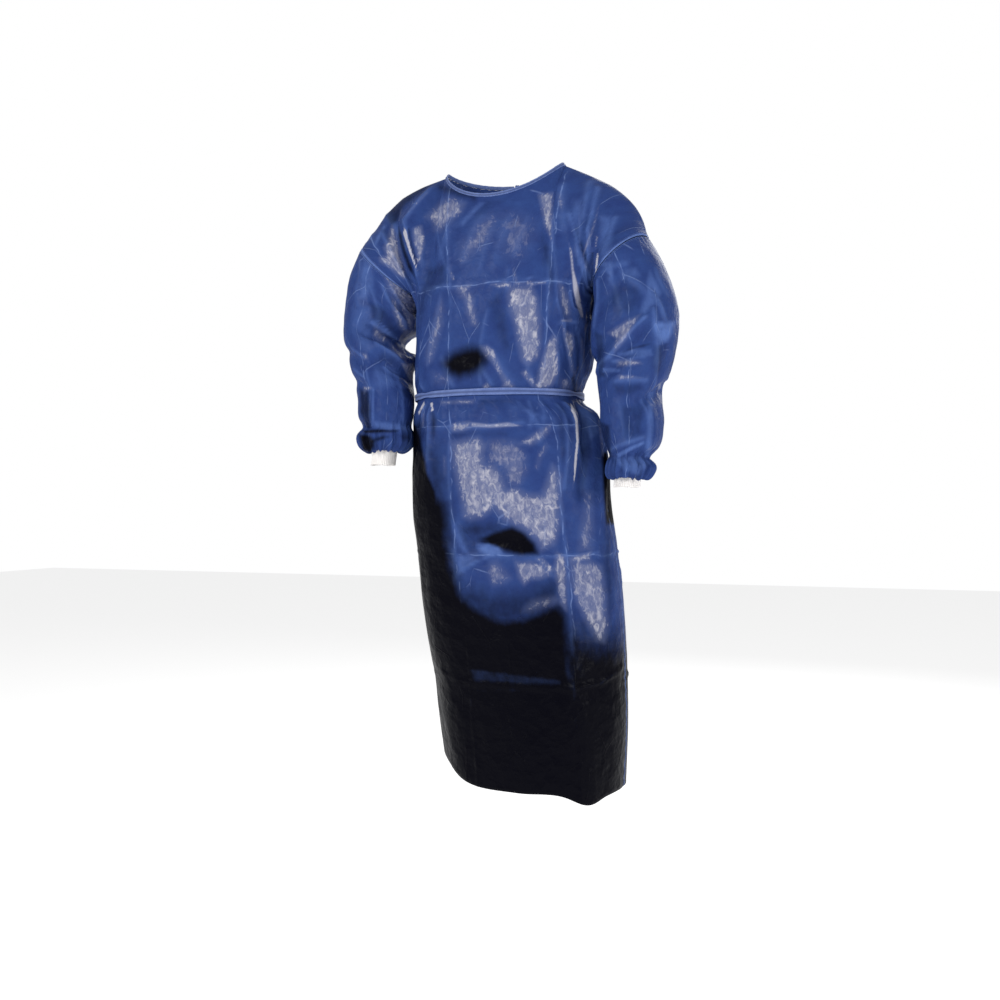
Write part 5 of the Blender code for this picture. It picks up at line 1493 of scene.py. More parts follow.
def film_faced_nonwoven():
    """Spunbond polypropylene with a thin film on its face: blue and slick, with painted highlights and shade.

    The film gives a broad soft gloss, whitish mottled patches are painted highlights of its sheen, and the
    cloth is painted nearly black as painted shade, where it lies in shadow and dark shows through it."""
    material, tree = new_material("film_faced_spunbond")
    if tree is None:
        return material
    settings = bpy.context.scene.gown_cloth
    where = flat_pattern(tree)
    cloud, rim, shade, crease, seam = (
        add_node(tree, "ShaderNodeAttribute", {"attribute_name": key}).outputs["Fac"] for key in MARKS
    )
    broad = grain(tree, where, 34.0, Detail=3.0, Roughness=0.55)
    fibre = grain(tree, where, 2.4, Detail=3.0, Roughness=0.65)
    # The loose fibres lie mostly lengthwise, so the mottling is drawn out that way
    drawn = add_node(tree, "ShaderNodeMapping", None, {"Scale": (1.0, 0.55, 1.0)}, {0: where}).outputs[0]
    blotch = grain(tree, drawn, 11.0, Detail=4.0, Roughness=0.60, Distortion=0.6)
    ragged = grain(tree, drawn, 17.0, Detail=5.0, Roughness=0.60)

    tone = worked(tree, "MULTIPLY_ADD", broad, 1.6, -0.30, clamp=True)
    blue = blended(tree, tone, linear("#24346a"), tuple(settings.film_blue))
    soft = worked(tree, "MULTIPLY_ADD", fibre, 1.2, -0.35, clamp=True)
    blue = blended(tree, worked(tree, "MULTIPLY", soft, 0.12), blue, linear("#4d65a0"))
    # Painted highlight along the ridges and on the gleaming facets, broken up by noise
    gleam = worked(tree, "MULTIPLY", crease, worked(tree, "MULTIPLY_ADD", ragged, 1.3, 0.10))
    blue = blended(tree, gleam, blue, linear("#5d79b8"))
    # Painted highlight along the packet's creases
    blue = blended(tree, worked(tree, "MULTIPLY", packet_lines(tree, where), 0.42), blue, linear("#7f97cc"))

    # Painted shade: nearly black where the shade mark is strong, with a ragged edge
    dark = worked(tree, "MULTIPLY_ADD", ragged, 0.36, worked(tree, "SUBTRACT", shade, 0.18))
    dark = soft_step(tree, dark, 0.06, 0.90)
    blue = blended(tree, dark, blue, tuple(settings.shade_black))
    warp = add_node(tree, "ShaderNodeTexNoise", None, {"Scale": 1 / 20.0, "Detail": 2.0}, {"Vector": where})
    bent = add_node(tree, "ShaderNodeVectorMath", {"operation": "MULTIPLY_ADD"}, {1: (16.0, 16.0, 16.0)},
                    {0: warp.outputs["Color"], 2: where}).outputs[0]
    # Handling leaves a few sharp, straight creases about 1 mm wide between flat facets of 70 mm
    facet, fine_line = 70.0, 1.0
    from_edge = add_node(tree, "ShaderNodeTexVoronoi", {"feature": "DISTANCE_TO_EDGE"}, {"Scale": 1 / facet},
                         {"Vector": drawn}).outputs["Distance"]
    sharp = soft_step(tree, from_edge, fine_line / facet, 0.2 * fine_line / facet)
    kept = soft_step(tree, grain(tree, where, 50.0, Detail=2.0), 0.48, 0.60)
    sharp = worked(tree, "MULTIPLY", sharp, kept)
    # The sharp creases are painted lighter as painted highlight, less so in the painted shade
    blue = blended(tree, worked(tree, "MULTIPLY", sharp, worked(tree, "SUBTRACT", 0.30, dark, clamp=True)),
                   blue, linear("#8298cc"))
    # Two layers of cloth meet at a seam, and look lighter for about 3 mm
    double = soft_step(tree, seam, 3.6, 2.2)
    double = worked(tree, "MULTIPLY", double, worked(tree, "MULTIPLY_ADD", fibre, 0.9, 0.1))
    blue = blended(tree, double, blue, linear("#6d86c2"))

    # The painted highlight breaks up into branching threads and clots, and the same threads fray the patch's
    # edge
    thread = worked(tree, "ABSOLUTE", worked(tree, "MULTIPLY_ADD", blotch, 5.5, -2.75))
    clot = grain(tree, drawn, 8.5, Detail=3.0, Roughness=0.62, Distortion=1.0)
    veins = worked(tree, "MULTIPLY_ADD", clot, 3.4, -1.55, clamp=True)
    veins = worked(tree, "MULTIPLY_ADD", worked(tree, "SUBTRACT", 1.0, thread, clamp=True), 0.22, veins)
    veins = worked(tree, "MULTIPLY", veins, worked(tree, "MULTIPLY_ADD", ragged, 1.4, 0.10))
    frayed = worked(tree, "MULTIPLY_ADD", rim, 0.70, worked(tree, "SUBTRACT", veins, 0.62), clamp=True)
    # A painted glint, which is a highlight patch of full strength, is plain
    glint = worked(tree, "MULTIPLY", soft_step(tree, cloud, 0.86, 1.0), soft_step(tree, rim, -0.2, 0.7))
    frayed = worked(tree, "MULTIPLY", frayed, cloud)
    lit = worked(tree, "MAXIMUM", frayed, worked(tree, "MULTIPLY", glint, 0.9))
    # A painted haze of sheen over each highlight patch and a little round it
    haze = worked(tree, "MULTIPLY", worked(tree, "MULTIPLY", soft_step(tree, rim, -0.8, 0.9), cloud), 0.50)
    blue = blended(tree, haze, blue, linear("#6a7396"))
    colour = blended(tree, lit, blue, tuple(settings.highlight_white))
    rough = worked(tree, "MULTIPLY_ADD", ragged, 0.24, 0.24)

    # Crumpled film bends in flat facets with sharp edges, about 26 mm and 9 mm across
    cells = ((26.0, 1.0, bent), (9.0, 1.0, bent), (2.2, 0.15, where))
    wide, close, points = (
        add_node(tree, "ShaderNodeTexVoronoi", None, {"Scale": 1 / size, "Randomness": loose}, {0: place})
        .outputs["Distance"] for size, loose, place in cells
    )
    # Heights are in millimetres. The real bonding points are 1 mm apart, and are drawn at 2.2 mm to show
    height = worked(tree, "MULTIPLY", wide, 2.6)
    height = worked(tree, "MULTIPLY_ADD", close, 0.75, height)
    height = worked(tree, "MULTIPLY_ADD", points, 0.07, height)
    height = worked(tree, "MULTIPLY_ADD", sharp, 0.90, height)
    height = worked(tree, "MULTIPLY_ADD", fibre, 0.16, height)
    bump = add_node(tree, "ShaderNodeBump", None, {"Strength": 0.8, "Distance": 0.001}, {"Height": height})
    finish_with(
        tree,
        {"IOR": 1.49, "Specular IOR Level": 0.04, "Sheen Weight": 0.004, "Sheen Roughness": 0.4,
         "Sheen Tint": (0.45, 0.55, 0.85, 1.0)},
        {"Base Color": colour, "Roughness": rough, "Normal": bump.outputs[0]},
    )
    return material


def folded_nonwoven_strip():
    """The same nonwoven without film, folded lengthwise: lighter, more matt, with a dark line of painted
    shade in the groove at its fold.
    """
    material, tree = new_material("folded_nonwoven_strip")
    if tree is None:
        return material
    settings = bpy.context.scene.gown_trim
    where = flat_pattern(tree)
    fibre = grain(tree, where, 2.2, Detail=4.0, Roughness=0.65)
    patch = grain(tree, where, 16.0, Detail=3.0, Roughness=0.55)
    fold = add_node(tree, "ShaderNodeAttribute", {"attribute_name": CREASE_ATTRIBUTE}).outputs["Fac"]
    blue = blended(tree, worked(tree, "MULTIPLY_ADD", patch, 1.8, -0.4, clamp=True),
                   linear("#3d5390"), tuple(settings.strip_blue))
    blue = blended(tree, worked(tree, "MULTIPLY_ADD", fibre, 0.8, -0.25, clamp=True), blue, linear("#8fa3d0"))
    # Painted shade in the groove along the fold
    blue = blended(tree, worked(tree, "MULTIPLY", fold, 0.75), blue, linear("#1d2c58"))
    bump = add_node(tree, "ShaderNodeBump", None, {"Strength": 0.5, "Distance": 0.0004}, {"Height": fibre})
    finish_with(tree, {"IOR": 1.49, "Specular IOR Level": 0.35, "Sheen Weight": 0.15, "Roughness": 0.55},
                {"Base Color": blue, "Normal": bump.outputs[0]})
    return material


def rib_knit():
    """Bleached cotton and polyester rib knit: matt and soft, with columns of small V-shaped loops."""
    material, tree = new_material("white_cotton_rib")
    if tree is None:
        return material
    settings = bpy.context.scene.gown_trim
    where = flat_pattern(tree)
    split = add_node(tree, "ShaderNodeSeparateXYZ", links={0: where})
    loop_width, loop_height = 1.4, 1.6
    side = worked(tree, "PINGPONG", worked(tree, "DIVIDE", split.outputs[0], loop_width), 0.5)
    slope = worked(tree, "MULTIPLY_ADD", side, 1.6, worked(tree, "DIVIDE", split.outputs[1], loop_height))
    loops = worked(tree, "PINGPONG", slope, 0.5)
    fuzz = grain(tree, where, 1.3, Detail=4.0, Roughness=0.7)
    valley = add_node(tree, "ShaderNodeAttribute", {"attribute_name": CREASE_ATTRIBUTE}).outputs["Fac"]
    white = blended(tree, worked(tree, "MULTIPLY_ADD", fuzz, 0.9, -0.25, clamp=True),
                    linear("#f6f3f0"), tuple(settings.knit_white))
    # Painted shade in the valleys between the ribs
    white = blended(tree, worked(tree, "MULTIPLY", valley, 0.35), white, linear("#d6d0cb"))
    height = worked(tree, "MULTIPLY_ADD", loops, 1.0, worked(tree, "MULTIPLY", fuzz, 0.5))
    bump = add_node(tree, "ShaderNodeBump", None, {"Strength": 0.6, "Distance": 0.0005}, {"Height": height})
    finish_with(
        tree, {"Roughness": 0.92, "Specular IOR Level": 0.2, "Sheen Weight": 0.3, "Sheen Roughness": 0.5},
        {"Base Color": white, "Normal": bump.outputs[0]},
    )
    return material


def sewing_thread():
    """Spun polyester thread, a shade lighter than the cloth: a slight gloss along the twist."""
    material, tree = new_material("polyester_thread")
    if tree is None:
        return material
    where = add_node(tree, "ShaderNodeTexCoord").outputs["Object"]
    twist = grain(tree, where, 0.0008, Detail=2.0)
    blue = blended(tree, twist, linear("#334a86"), linear("#5f78b4"))
    finish_with(tree, {"Roughness": 0.45, "Specular IOR Level": 0.4}, {"Base Color": blue})
    return material


def grown(source, tree, inputs):
    """The plain mesh that a geometry tree makes of an object, in place of that object."""
    modifier = source.modifiers.new("grow", "NODES")
    modifier.node_group = tree
    names = {item.name: item.identifier for item in tree.interface.items_tree if item.item_type == "SOCKET"}
    for key, value in inputs.items():
        modifier[names[key]] = value
    shaped = source.evaluated_get(bpy.context.evaluated_depsgraph_get())
    mesh = bpy.data.meshes.new_from_object(shaped)
    name = source.name
    source.modifiers.remove(modifier)
    bpy.data.objects.remove(source)
    mesh.name = name
    return linked(name, mesh)


def new_tree(name, sockets):
    """An empty geometry tree with named inputs and its two ends."""
    tree = bpy.data.node_groups.new(name, "GeometryNodeTree")
    tree.interface.new_socket("Geometry", in_out="INPUT", socket_type="NodeSocketGeometry")
    for key, kind, default in sockets:
        made = tree.interface.new_socket(key, in_out="INPUT", socket_type=kind)
        if default is not None:
            made.default_value = default
    tree.interface.new_socket("Geometry", in_out="OUTPUT", socket_type="NodeSocketGeometry")
    return tree, add_node(tree, "NodeGroupInput"), add_node(tree, "NodeGroupOutput")


def end_tree(tree, inside, outside, geometry):
    """Realizes what the tree made and gives it its material."""
    real = add_node(tree, "GeometryNodeRealizeInstances", links={0: geometry})
    coated = add_node(tree, "GeometryNodeSetMaterial",
                      links={"Geometry": real.outputs[0], "Material": inside.outputs["Material"]})
    tree.links.new(coated.outputs[0], outside.inputs[0])


def stitch_tree():
    """Stitches along a line: short rods of thread at an even pitch, each laid along the line."""
    found = bpy.data.node_groups.get("Thread stitches")
    if found:
        return found
    tree, inside, outside = new_tree("Thread stitches", (
        ("Pitch", "NodeSocketFloat", 0.004),
        ("Stitch Length", "NodeSocketFloat", 0.003),
        ("Thread Radius", "NodeSocketFloat", 0.0003),
        ("Material", "NodeSocketMaterial", None),
    ))
    curve = add_node(tree, "GeometryNodeMeshToCurve", links={0: inside.outputs["Geometry"]})
    spots = add_node(tree, "GeometryNodeCurveToPoints", {"mode": "LENGTH"},
                     links={"Curve": curve.outputs[0], "Length": inside.outputs["Pitch"]})
    rod = add_node(tree, "GeometryNodeMeshCylinder", {"fill_type": "NGON"},
                   {"Vertices": 5, "Side Segments": 1},
                   {"Radius": inside.outputs["Thread Radius"], "Depth": inside.outputs["Stitch Length"]})
    placed = add_node(tree, "GeometryNodeInstanceOnPoints",
                      links={"Points": spots.outputs["Points"], "Instance": rod.outputs["Mesh"],
                             "Rotation": spots.outputs["Rotation"]})
    end_tree(tree, inside, outside, placed.outputs[0])
    return tree


def rib_tree():
    """Raised ribs round a tube: its outer wall rises and falls along the normal, so many times a turn."""
    found = bpy.data.node_groups.get("Knitted ribs")
    if found:
        return found
    tree, inside, outside = new_tree("Knitted ribs", (
        ("Ribs", "NodeSocketInt", 44),
        ("Rib Height", "NodeSocketFloat", 0.0007),
        ("Material", "NodeSocketMaterial", None),
    ))
    turn = add_node(tree, "GeometryNodeInputNamedAttribute", {"data_type": "FLOAT"}, {"Name": "turn"})
    face = add_node(tree, "GeometryNodeInputNamedAttribute", {"data_type": "FLOAT"}, {"Name": "outside"})
    normal = add_node(tree, "GeometryNodeInputNormal")
    angle = worked(tree, "MULTIPLY", turn.outputs[0], inside.outputs["Ribs"])
    angle = worked(tree, "MULTIPLY", angle, 2 * np.pi)
    wave = worked(tree, "COSINE", angle)
    rise = worked(tree, "MULTIPLY", wave, inside.outputs["Rib Height"])
    rise = worked(tree, "MULTIPLY", rise, face.outputs[0])
    push = add_node(tree, "ShaderNodeVectorMath", {"operation": "SCALE"},
                    links={0: normal.outputs[0], "Scale": rise})
    moved = add_node(tree, "GeometryNodeSetPosition",
                     links={"Geometry": inside.outputs["Geometry"], "Offset": push.outputs[0]})
    # How deep in a valley each point lies, which the knit's material paints as shade
    valley = worked(tree, "MULTIPLY_ADD", wave, -0.5, 0.5)
    stored = add_node(tree, "GeometryNodeStoreNamedAttribute", {"data_type": "FLOAT", "domain": "POINT"},
                      {"Name": CREASE_ATTRIBUTE}, {"Geometry": moved.outputs[0], "Value": valley})
    end_tree(tree, inside, outside, stored.outputs[0])
    return tree


def add_stitches(name, lines):
    """Stitches along several lines of points."""
    points, edges = [], []
    for line in lines:
        start = len(points)
        points += [tuple(p) for p in line]
        edges += [(start + i, start + i + 1) for i in range(len(line) - 1)]
    mesh = bpy.data.meshes.new(name)
    mesh.from_pydata(points, edges, [])
    settings = bpy.context.scene.gown_trim
    made = grown(linked(name, mesh), stitch_tree(), {
        "Pitch": settings.stitch_pitch,
        "Stitch Length": 0.72 * settings.stitch_pitch,
        "Thread Radius": THREAD_RADIUS,
        "Material": sewing_thread(),
    })
    settle(made)
    return made


def seam_lines(side_front):
    """Lines of stitches beside the seams of the front, or of the backs."""
    inset = 0.004 / QUARTER
    lines = []
    for side in (-1, 1):
        around = side * (1 - inset if side_front else 1 + inset)
        for start, end in ((0.004, 0.975), (1.025, 1.975)):
            level = np.linspace(start, end, 160)
            lines.append(face_of_body(np.full_like(level, around), level, STITCH_LIFT)[0])
    return lines


def strip_shell(name, line, across, out, width, thickness, waves):
    """A folded strip along a line, with two rounded lengthwise bands and the fold's groove between them."""
    turn = np.linspace(0, 2 * np.pi, STRIP_SIDES, endpoint=False)
    sideways = np.sign(np.cos(turn)) * np.abs(np.cos(turn)) ** 0.55
    outwards = np.sign(np.sin(turn)) * np.abs(np.sin(turn)) ** 0.75
    groove = np.exp(-((sideways / 0.16) ** 2)) * (outwards > 0)
    wide = across[:, None, :] * (np.outer(width, sideways) / 2)[..., None]
    thick = out[:, None, :] * ((outwards - GROOVE_DEPTH * groove) * thickness / 2)[None, :, None]
    points = (line + out * waves[:, None])[:, None, :] + wide + thick
    count, columns = points.shape[:2]
    index = np.arange(count * columns).reshape(count, columns)
    right = np.roll(index, -1, axis=1)
    quads = np.stack([index[:-1], index[1:], right[1:], right[:-1]], axis=-1).reshape(-1, 4)
    faces = quads.tolist() + [index[0].tolist(), index[-1][::-1].tolist()]
    travelled = np.concatenate([[0], np.cumsum(np.linalg.norm(np.diff(line, axis=0), axis=1))])
    flat = np.stack([np.repeat(travelled, columns), np.outer(width / 2, sideways).ravel()], axis=-1)
    return folded_strip(name, points, faces, np.tile(groove, count), flat)


def folded_strip(name, points, faces, groove, flat):
    """A closed piece of the folded strip, with painted shade in its groove."""
    made = cloth_piece(name, points, faces, {CREASE_ATTRIBUTE: groove}, flat, folded_nonwoven_strip())
    face_outwards(made.data)
    return made


def make_front():
    around, level = front_grid()
    piece = add_body_panel("front_cloth", around, level, 0.0)
    settle(piece, "front")
    stitches = add_stitches("front_stitches", seam_lines(True))


def make_backs():
    stitches = add_stitches("back_stitches", seam_lines(False))
    for name, side in (("back_left", 1), ("back_right", -1)):
        around, level = back_grid(side)
        piece = add_body_panel(name + "_cloth", around, level, lap_lift(around, level, side))
        settle(piece, name)


def make_sleeves():
    for name, sections, folds, creases, seen_patches, side, cut in (
        ("sleeve_right", SLEEVE_RIGHT, SLEEVE_RIGHT_FOLDS, RIGHT_CREASES,
         (RIGHT_HIGHLIGHTS, RIGHT_SHADE, RIGHT_GLEAM), -1, (0.47, 0.44)),
        ("sleeve_left", SLEEVE_LEFT, SLEEVE_LEFT_FOLDS, LEFT_CREASES,
         (LEFT_HIGHLIGHTS, LEFT_SHADE, LEFT_GLEAM), 1, (0.48, 0.50)),
    ):
        piece = add_sleeve_shell(name + "_cloth", sections, folds, creases, seen_patches, side, 2.3 + side)
        settle(piece, name)
        angle = np.linspace(0, 2 * np.pi, 240)
        along = np.full_like(angle, 0.006)
        ring = sleeve_base(sections, side, angle, along)
        ring = ring + sleeve_normals(sections, side, angle, along) * STITCH_LIFT
        stitches = add_stitches(name + "_stitches", [ring])


def make_cuffs():
    settings = bpy.context.scene.gown_trim
    for name, ends in (("cuff_right", CUFF_RIGHT), ("cuff_left", CUFF_LEFT)):
        turn = np.arange(CUFF_COLUMNS) / CUFF_COLUMNS
        tops = np.array([end.z for end in reversed(ends)])
        heights = np.linspace(tops[0], tops[-1], CUFF_ROWS)
        share = (heights - tops[0]) / (tops[-1] - tops[0])
        read = {key: np.interp(heights, tops, [getattr(end, key) for end in reversed(ends)])
                for key in ("x", "y", "half_width", "half_depth")}
        lip = 0.0006 * np.exp(-((share / 0.06) ** 2))
        walls = []
        for wall in (-0.0003, -CUFF_WALL):
            waist = -0.0012 * np.sin(np.pi * share) + lip
            x = read["x"][:, None] + (read["half_width"] + wall + waist)[:, None] * np.cos(2 * np.pi * turn)
            y = read["y"][:, None] + (read["half_depth"] + wall + waist)[:, None] * np.sin(2 * np.pi * turn)
            z = heights[:, None] + 0.0008 * np.sin(6 * np.pi * turn + 1.0)[None, :] * (1 - share)[:, None]
            walls.append(np.stack([x, y, z], axis=-1))
        outer, inner = walls
        perimeter = np.pi * (read["half_width"][0] + read["half_depth"][0])
        places = np.stack(np.broadcast_arrays(turn[None, :] * perimeter, heights[:, None]), axis=-1)
        base = shell_object(name + "_knit", outer, inner, True, {}, places, rib_knit())
        count = outer.shape[0] * outer.shape[1]
        for key, values in (
            ("turn", np.tile(np.tile(turn, CUFF_ROWS), 2)),
            ("outside", np.concatenate([np.ones(count), np.zeros(count)])),
        ):
            mark_points(base.data, key, values)
        piece = grown(base, rib_tree(), {"Ribs": settings.cuff_ribs, "Rib Height": settings.rib_height,
                                         "Material": rib_knit()})
        settle(piece, name)


def make_binding():
    turn = np.linspace(-BINDING_END_TURN, BINDING_END_TURN, 420)
    line = np.stack(neck_point(turn), axis=-1)
    up = neck_lean(turn)
    out = unit(np.cross(np.gradient(line, axis=0), up))
    low = 0.0001
    height = BINDING_HEIGHT - low
    middle = line + up * (low + height / 2) - out * (BINDING_THICKNESS - 2 * 0.00055) / 2
    waves = 0.00022 * np.sin(96 * turn + 1.5 * np.sin(13 * turn))
    width = height * (1 + 0.03 * np.sin(41 * turn + 2 * np.sin(7 * turn)))
    piece = strip_shell("neck_binding_strip", middle, up, out, width, BINDING_THICKNESS, waves)
    settle(piece, "neck_binding")
    seam = middle - up * (height * 0.27) + out * (BINDING_THICKNESS / 2 + STITCH_LIFT)
    stitches = add_stitches("neck_binding_stitches", [seam])
    knot = make_knot("neck_knot", NECK_KNOT)
    make_tails(NECK_KNOT)


def make_belt():
    arounds = np.linspace(-BELT_END_AROUND, BELT_END_AROUND, 520)
    height = waist_rise(arounds)
    level = level_of(height)
    base = body_base(arounds, level)
    out = unit(body_normals(arounds, level) * np.array([1.0, 1.0, 0.0]))
    behind = LAP_LIFT * ramp(np.abs(arounds), 1.30, 1.60)
    reach = behind + BELT_CLEARANCE + TIE_THICKNESS / 2
    line = base + out * reach[:, None]
    line[:, 2] = height
    up = np.repeat(np.array([[0.0, 0.0, 1.0]]), len(arounds), axis=0)
    tilt = 0.22 * np.sin(7 * arounds + 1) + 0.10 * np.sin(19 * arounds)
    across = unit(up + out * tilt[:, None] * 0.35)
    facing = unit(np.cross(np.gradient(line, axis=0), across))
    waves = 0.0005 * np.sin(23 * arounds + 2 * np.sin(5 * arounds)) + 0.0002
    pinch = 1 - sum(share * np.exp(-(((arounds - at) / spread) ** 2)) for at, share, spread in BELT_PINCHES)
    width = BELT_HEIGHT * pinch * (0.97 + 0.06 * np.sin(11 * arounds) * np.sin(3 * arounds + 1))
    piece = strip_shell("belt_strip", line, across, facing, width, TIE_THICKNESS, waves)
    settle(piece, "belt")
    knot = make_knot("belt_knot", BELT_KNOT)
    make_tails(BELT_KNOT)


def make_knot(name, knot):
    """An overhand knot: a narrow folded strip led round a flattened trefoil."""
    turn = np.linspace(0, 2 * np.pi, KNOT_STEPS + 1)
    line = np.stack([
        np.sin(turn) + 2 * np.sin(2 * turn),
        -np.sin(3 * turn) * 1.15,
        np.cos(turn) - 2 * np.cos(2 * turn),
    ], axis=-1)
    room = np.array([knot.width, knot.depth, knot.height]) / 2
    strip = min(room) * KNOT_STRIP
    line = line / np.abs(line).max(axis=0) * (room - strip * 0.80)
    line = line[:-1]
    ahead = unit(np.roll(line, -1, axis=0) - np.roll(line, 1, axis=0))
    away = unit(line * np.array([1.0, 0.2, 1.0]) + 1e-6)
    across = unit(np.cross(ahead, away))
    out = unit(np.cross(across, ahead))
    ring = np.linspace(0, 2 * np.pi, KNOT_SIDES, endpoint=False)
    wide, thick = np.cos(ring) * strip, np.sin(ring) * strip * KNOT_STRIP_FLAT
    points = line[:, None, :] + across[:, None, :] * wide[None, :, None]
    points = points + out[:, None, :] * thick[None, :, None] + np.array([knot.x, knot.y, knot.z])
    count = len(line)
    index = np.arange(count * KNOT_SIDES).reshape(count, KNOT_SIDES)
    ahead_rows, right = np.roll(index, -1, axis=0), np.roll(index, -1, axis=1)
    quads = np.stack([index, ahead_rows, np.roll(ahead_rows, -1, axis=1), right], axis=-1).reshape(-1, 4)
    groove = np.exp(-((np.cos(ring) / 0.22) ** 2)) * (np.sin(ring) > 0)
    flat = np.stack([np.repeat(np.arange(count) * 0.0005, KNOT_SIDES), np.tile(wide, count)], axis=-1)
    made = folded_strip(name + "_tied", points, quads.tolist(), np.tile(groove, count), flat)
    settle(made, name)
    return made


def make_tails(knot):
    """The two ends that hang from a knot, each a folded strip with a slight twist and wave."""
    top = knot.z - knot.height / 2 - SEAM_GAP
    for end, start_around, end_around, lift, turn in (
        ("left", 2.012, 2.045, TAIL_LIFTS[0], 0.4), ("right", 1.988, 1.960, TAIL_LIFTS[1], 2.1),
    ):
        heights = np.linspace(top, top - knot.tail, 120)
        levels = np.linspace(0.0, 2.0, 401)
        scale = body_base(np.full_like(levels, 2.0), levels)[:, 2]
        level = np.interp(heights, scale, levels)
        share = np.linspace(0, 1, len(heights))
        around = start_around + (end_around - start_around) * share
        base = body_base(around, level)
        out = body_normals(around, level)
        rest = body_relief(around, level, base[:, 2]) + lift + LAP_LIFT * (1 - ramp(level, *LAP_PARTS))
        line = base + out * (rest + TIE_THICKNESS / 2)[:, None]
        line[0, 2] = top
        ahead = unit(np.gradient(line, axis=0))
        across = unit(np.cross(out, ahead))
        facing = unit(np.cross(ahead, across))
        facing = facing * np.sign(np.sum(facing * out, axis=1))[:, None]
        waves = 0.0004 * np.sin(9 * share + turn) * share
        width = TIE_WIDTH * (0.55 + 0.45 * ramp(share, 0.0, 0.10)) * (1 - 0.06 * np.sin(17 * share + turn))
        name = "%s_tail_%s" % (knot.name, end)
        piece = strip_shell(name + "_strip", line, across, facing, width, TIE_THICKNESS * 0.8, waves)
        settle(piece, name)


def make_stage():
    settings = bpy.context.scene.gown_stage
    mesh = bpy.data.meshes.new("studio_floor")
    signs = ((-1, -1), (1, -1), (1, 1), (-1, 1))
    corners = [(x * FLOOR_HALF, y * FLOOR_HALF, settings.floor_height) for x, y in signs]
    mesh.from_pydata(corners, [], [(0, 1, 2, 3)])
    floor = linked("studio_floor", mesh)
    material, tree = new_material("studio_white")
    if tree:
        finish_with(tree, {"Base Color": (*settings.floor_colour, 1.0), "Roughness": 0.9,
                           "Specular IOR Level": 0.1, "Emission Color": (1.0, 1.0, 1.0, 1.0),
                           "Emission Strength": settings.floor_glow})
    mesh.materials.append(material)
    world = bpy.data.worlds.new("studio")
    world.use_nodes = True
    tree = world.node_tree
    tree.nodes.clear()
    # The backdrop is white to look at, and gives only as much light as the daylight setting
    seen = add_node(tree, "ShaderNodeLightPath").outputs["Is Camera Ray"]
    strength = worked(tree, "MULTIPLY_ADD", seen, 1.0 - settings.daylight, settings.daylight)
    sky = add_node(tree, "ShaderNodeBackground", values={"Color": (1.0, 1.0, 1.0, 1.0)},
                   links={"Strength": strength})
    add_node(tree, "ShaderNodeOutputWorld", links={"Surface": sky.outputs[0]})
    bpy.context.scene.world = world
    for name, place, aim, size, share in LAMPS:
        light = bpy.data.lights.new(name, "AREA")
        light.energy, light.size = share * settings.key_power, size
        lamp = linked(name, light)
        lamp.location = place
        lamp.rotation_euler = (Vector(aim) - Vector(place)).to_track_quat("-Z", "Y").to_euler()
    lens = bpy.data.cameras.new("camera")
    lens.lens = CAMERA_LENS
    camera = linked("camera", lens)
    camera.location = CAMERA_PLACE
    camera.rotation_euler = Vector(CAMERA_AHEAD).to_track_quat("-Z", "Y").to_euler()
    bpy.context.scene.camera = camera
    bpy.context.scene.view_settings.view_transform = "Standard"


def colour(name, description, code):
    """A property that holds a colour."""
    return FloatVectorProperty(name=name, description=description, default=linear(code), subtype="COLOR")


def length(name, description, metres):
    """A property that holds a length."""
    return FloatProperty(name=name, description=description, default=metres, unit="LENGTH")


class GownCloth(bpy.types.PropertyGroup):
    """Sizes and colours of the film-faced cloth."""

    crease_depth: FloatProperty(
        name="Crease Depth", description="How far the fine creases stand out", default=1.0, min=0.0, max=2.0
    )
    crumple_depth: length("Crumple Depth", "Height of the uneven crumpling", 0.0011)
    film_blue: colour("Film Blue", "The cloth's own blue", "#30477f")
    # The painted shade's colour, where the cloth lies in shadow and dark shows through it
    shade_black: colour("Film Black", "The cloth where nothing pale lies behind it", "#06060e")
    # The painted highlight's colour, the film's whitish mottled sheen
    highlight_white: colour("Cloud White", "The fibres where the film shows them", "#bcbbc6")


class GownTrim(bpy.types.PropertyGroup):
    """Sizes and colours of the binding, ties, cuffs and thread."""

    strip_blue: colour("Strip Blue", "The binding and the ties", "#5a70ad")
    knit_white: colour("Knit White", "The knitted cuffs", "#fdfbf9")
    cuff_ribs: IntProperty(name="Cuff Ribs", description="Ribs round a cuff", default=44, min=8, max=120)
    rib_height: length("Rib Height", "How far a rib stands out", 0.0006)
    stitch_pitch: length("Stitch Pitch", "From one stitch to the next", 0.004)


class GownStage(bpy.types.PropertyGroup):
    """The floor and the lights."""

    floor_height: length("Floor Height", "The floor's height in the gown's frame", -1.47)
    floor_colour: colour("Floor Colour", "The floor", "#f2f2f2")
    floor_glow: FloatProperty(
        name="Floor Glow", description="How much a lit floor adds to its own colour", default=0.50
    )
    daylight: FloatProperty(name="Daylight", description="Strength of the even white light", default=0.42)
    key_power: FloatProperty(
        name="Key Power", description="Power of the main lamp", default=50.0, unit="POWER"
    )


class GOWN_OT_front(bpy.types.Operator):
    """Makes the front"""

    bl_idname = "gown.make_front"
    bl_label = "Front"

    def execute(self, context):
        make_front()
        return {"FINISHED"}


class GOWN_OT_backs(bpy.types.Operator):
    """Makes the two lapped backs"""

    bl_idname = "gown.make_backs"
    bl_label = "Backs"

    def execute(self, context):
        make_backs()
        return {"FINISHED"}


class GOWN_OT_sleeves(bpy.types.Operator):
    """Makes both sleeves"""

    bl_idname = "gown.make_sleeves"
    bl_label = "Sleeves"

    def execute(self, context):
        make_sleeves()
        return {"FINISHED"}


class GOWN_OT_cuffs(bpy.types.Operator):
    """Makes both knitted cuffs"""

    bl_idname = "gown.make_cuffs"
    bl_label = "Cuffs"

    def execute(self, context):
        make_cuffs()
        return {"FINISHED"}


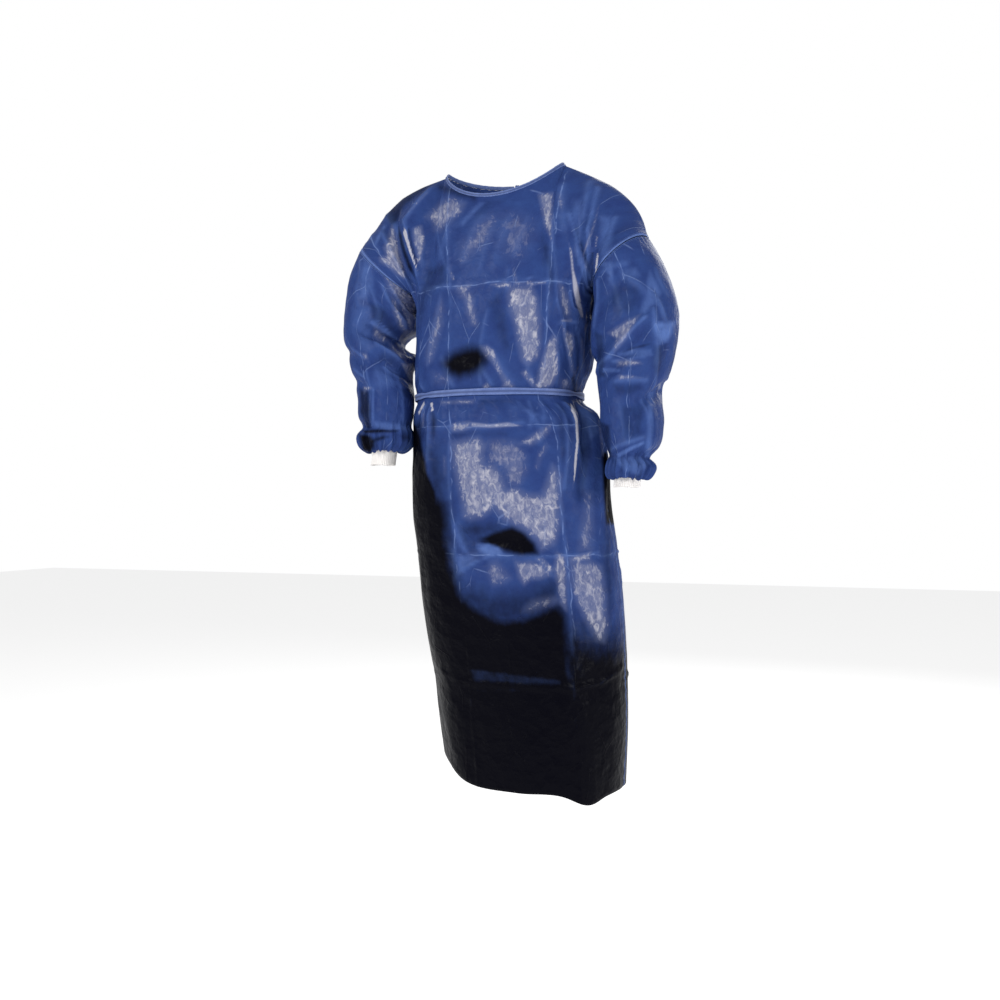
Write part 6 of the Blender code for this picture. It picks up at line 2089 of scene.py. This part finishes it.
class GOWN_OT_binding(bpy.types.Operator):
    """Makes the neck binding with its knot and hanging ends"""

    bl_idname = "gown.make_binding"
    bl_label = "Neck Binding"

    def execute(self, context):
        make_binding()
        return {"FINISHED"}


class GOWN_OT_belt(bpy.types.Operator):
    """Makes the waist tie with its knot and hanging ends"""

    bl_idname = "gown.make_belt"
    bl_label = "Waist Tie"

    def execute(self, context):
        make_belt()
        return {"FINISHED"}


class GOWN_OT_stage(bpy.types.Operator):
    """Makes the floor, the lights and the camera"""

    bl_idname = "gown.make_stage"
    bl_label = "Stage"

    def execute(self, context):
        make_stage()
        return {"FINISHED"}


OPERATORS = (
    GOWN_OT_stage, GOWN_OT_front, GOWN_OT_backs, GOWN_OT_sleeves, GOWN_OT_cuffs, GOWN_OT_binding,
    GOWN_OT_belt,
)


class GOWN_PT_panel(bpy.types.Panel):
    """Lists the gown's sizes, colours and steps"""

    bl_idname = "GOWN_PT_panel"
    bl_label = "Visitor Gown"
    bl_space_type = "VIEW_3D"
    bl_region_type = "UI"
    bl_category = "Gown"

    def draw(self, context):
        for group in (context.scene.gown_cloth, context.scene.gown_trim, context.scene.gown_stage):
            box = self.layout.box()
            for key in group.__annotations__:
                box.prop(group, key)
        for operator in OPERATORS:
            self.layout.operator(operator.bl_idname)


GROUPS = (("gown_cloth", GownCloth), ("gown_trim", GownTrim), ("gown_stage", GownStage))


def register():
    for key, group in GROUPS:
        bpy.utils.register_class(group)
        setattr(bpy.types.Scene, key, PointerProperty(type=group))
    for made in (*OPERATORS, GOWN_PT_panel):
        bpy.utils.register_class(made)


def unregister():
    for made in reversed((*OPERATORS, GOWN_PT_panel)):
        bpy.utils.unregister_class(made)
    for key, group in reversed(GROUPS):
        delattr(bpy.types.Scene, key)
        bpy.utils.unregister_class(group)


def main():
    register()
    bpy.ops.gown.make_stage()
    bpy.ops.gown.make_front()
    bpy.ops.gown.make_backs()
    bpy.ops.gown.make_sleeves()
    bpy.ops.gown.make_cuffs()
    bpy.ops.gown.make_binding()
    bpy.ops.gown.make_belt()


if __name__ == "__main__":
    main()
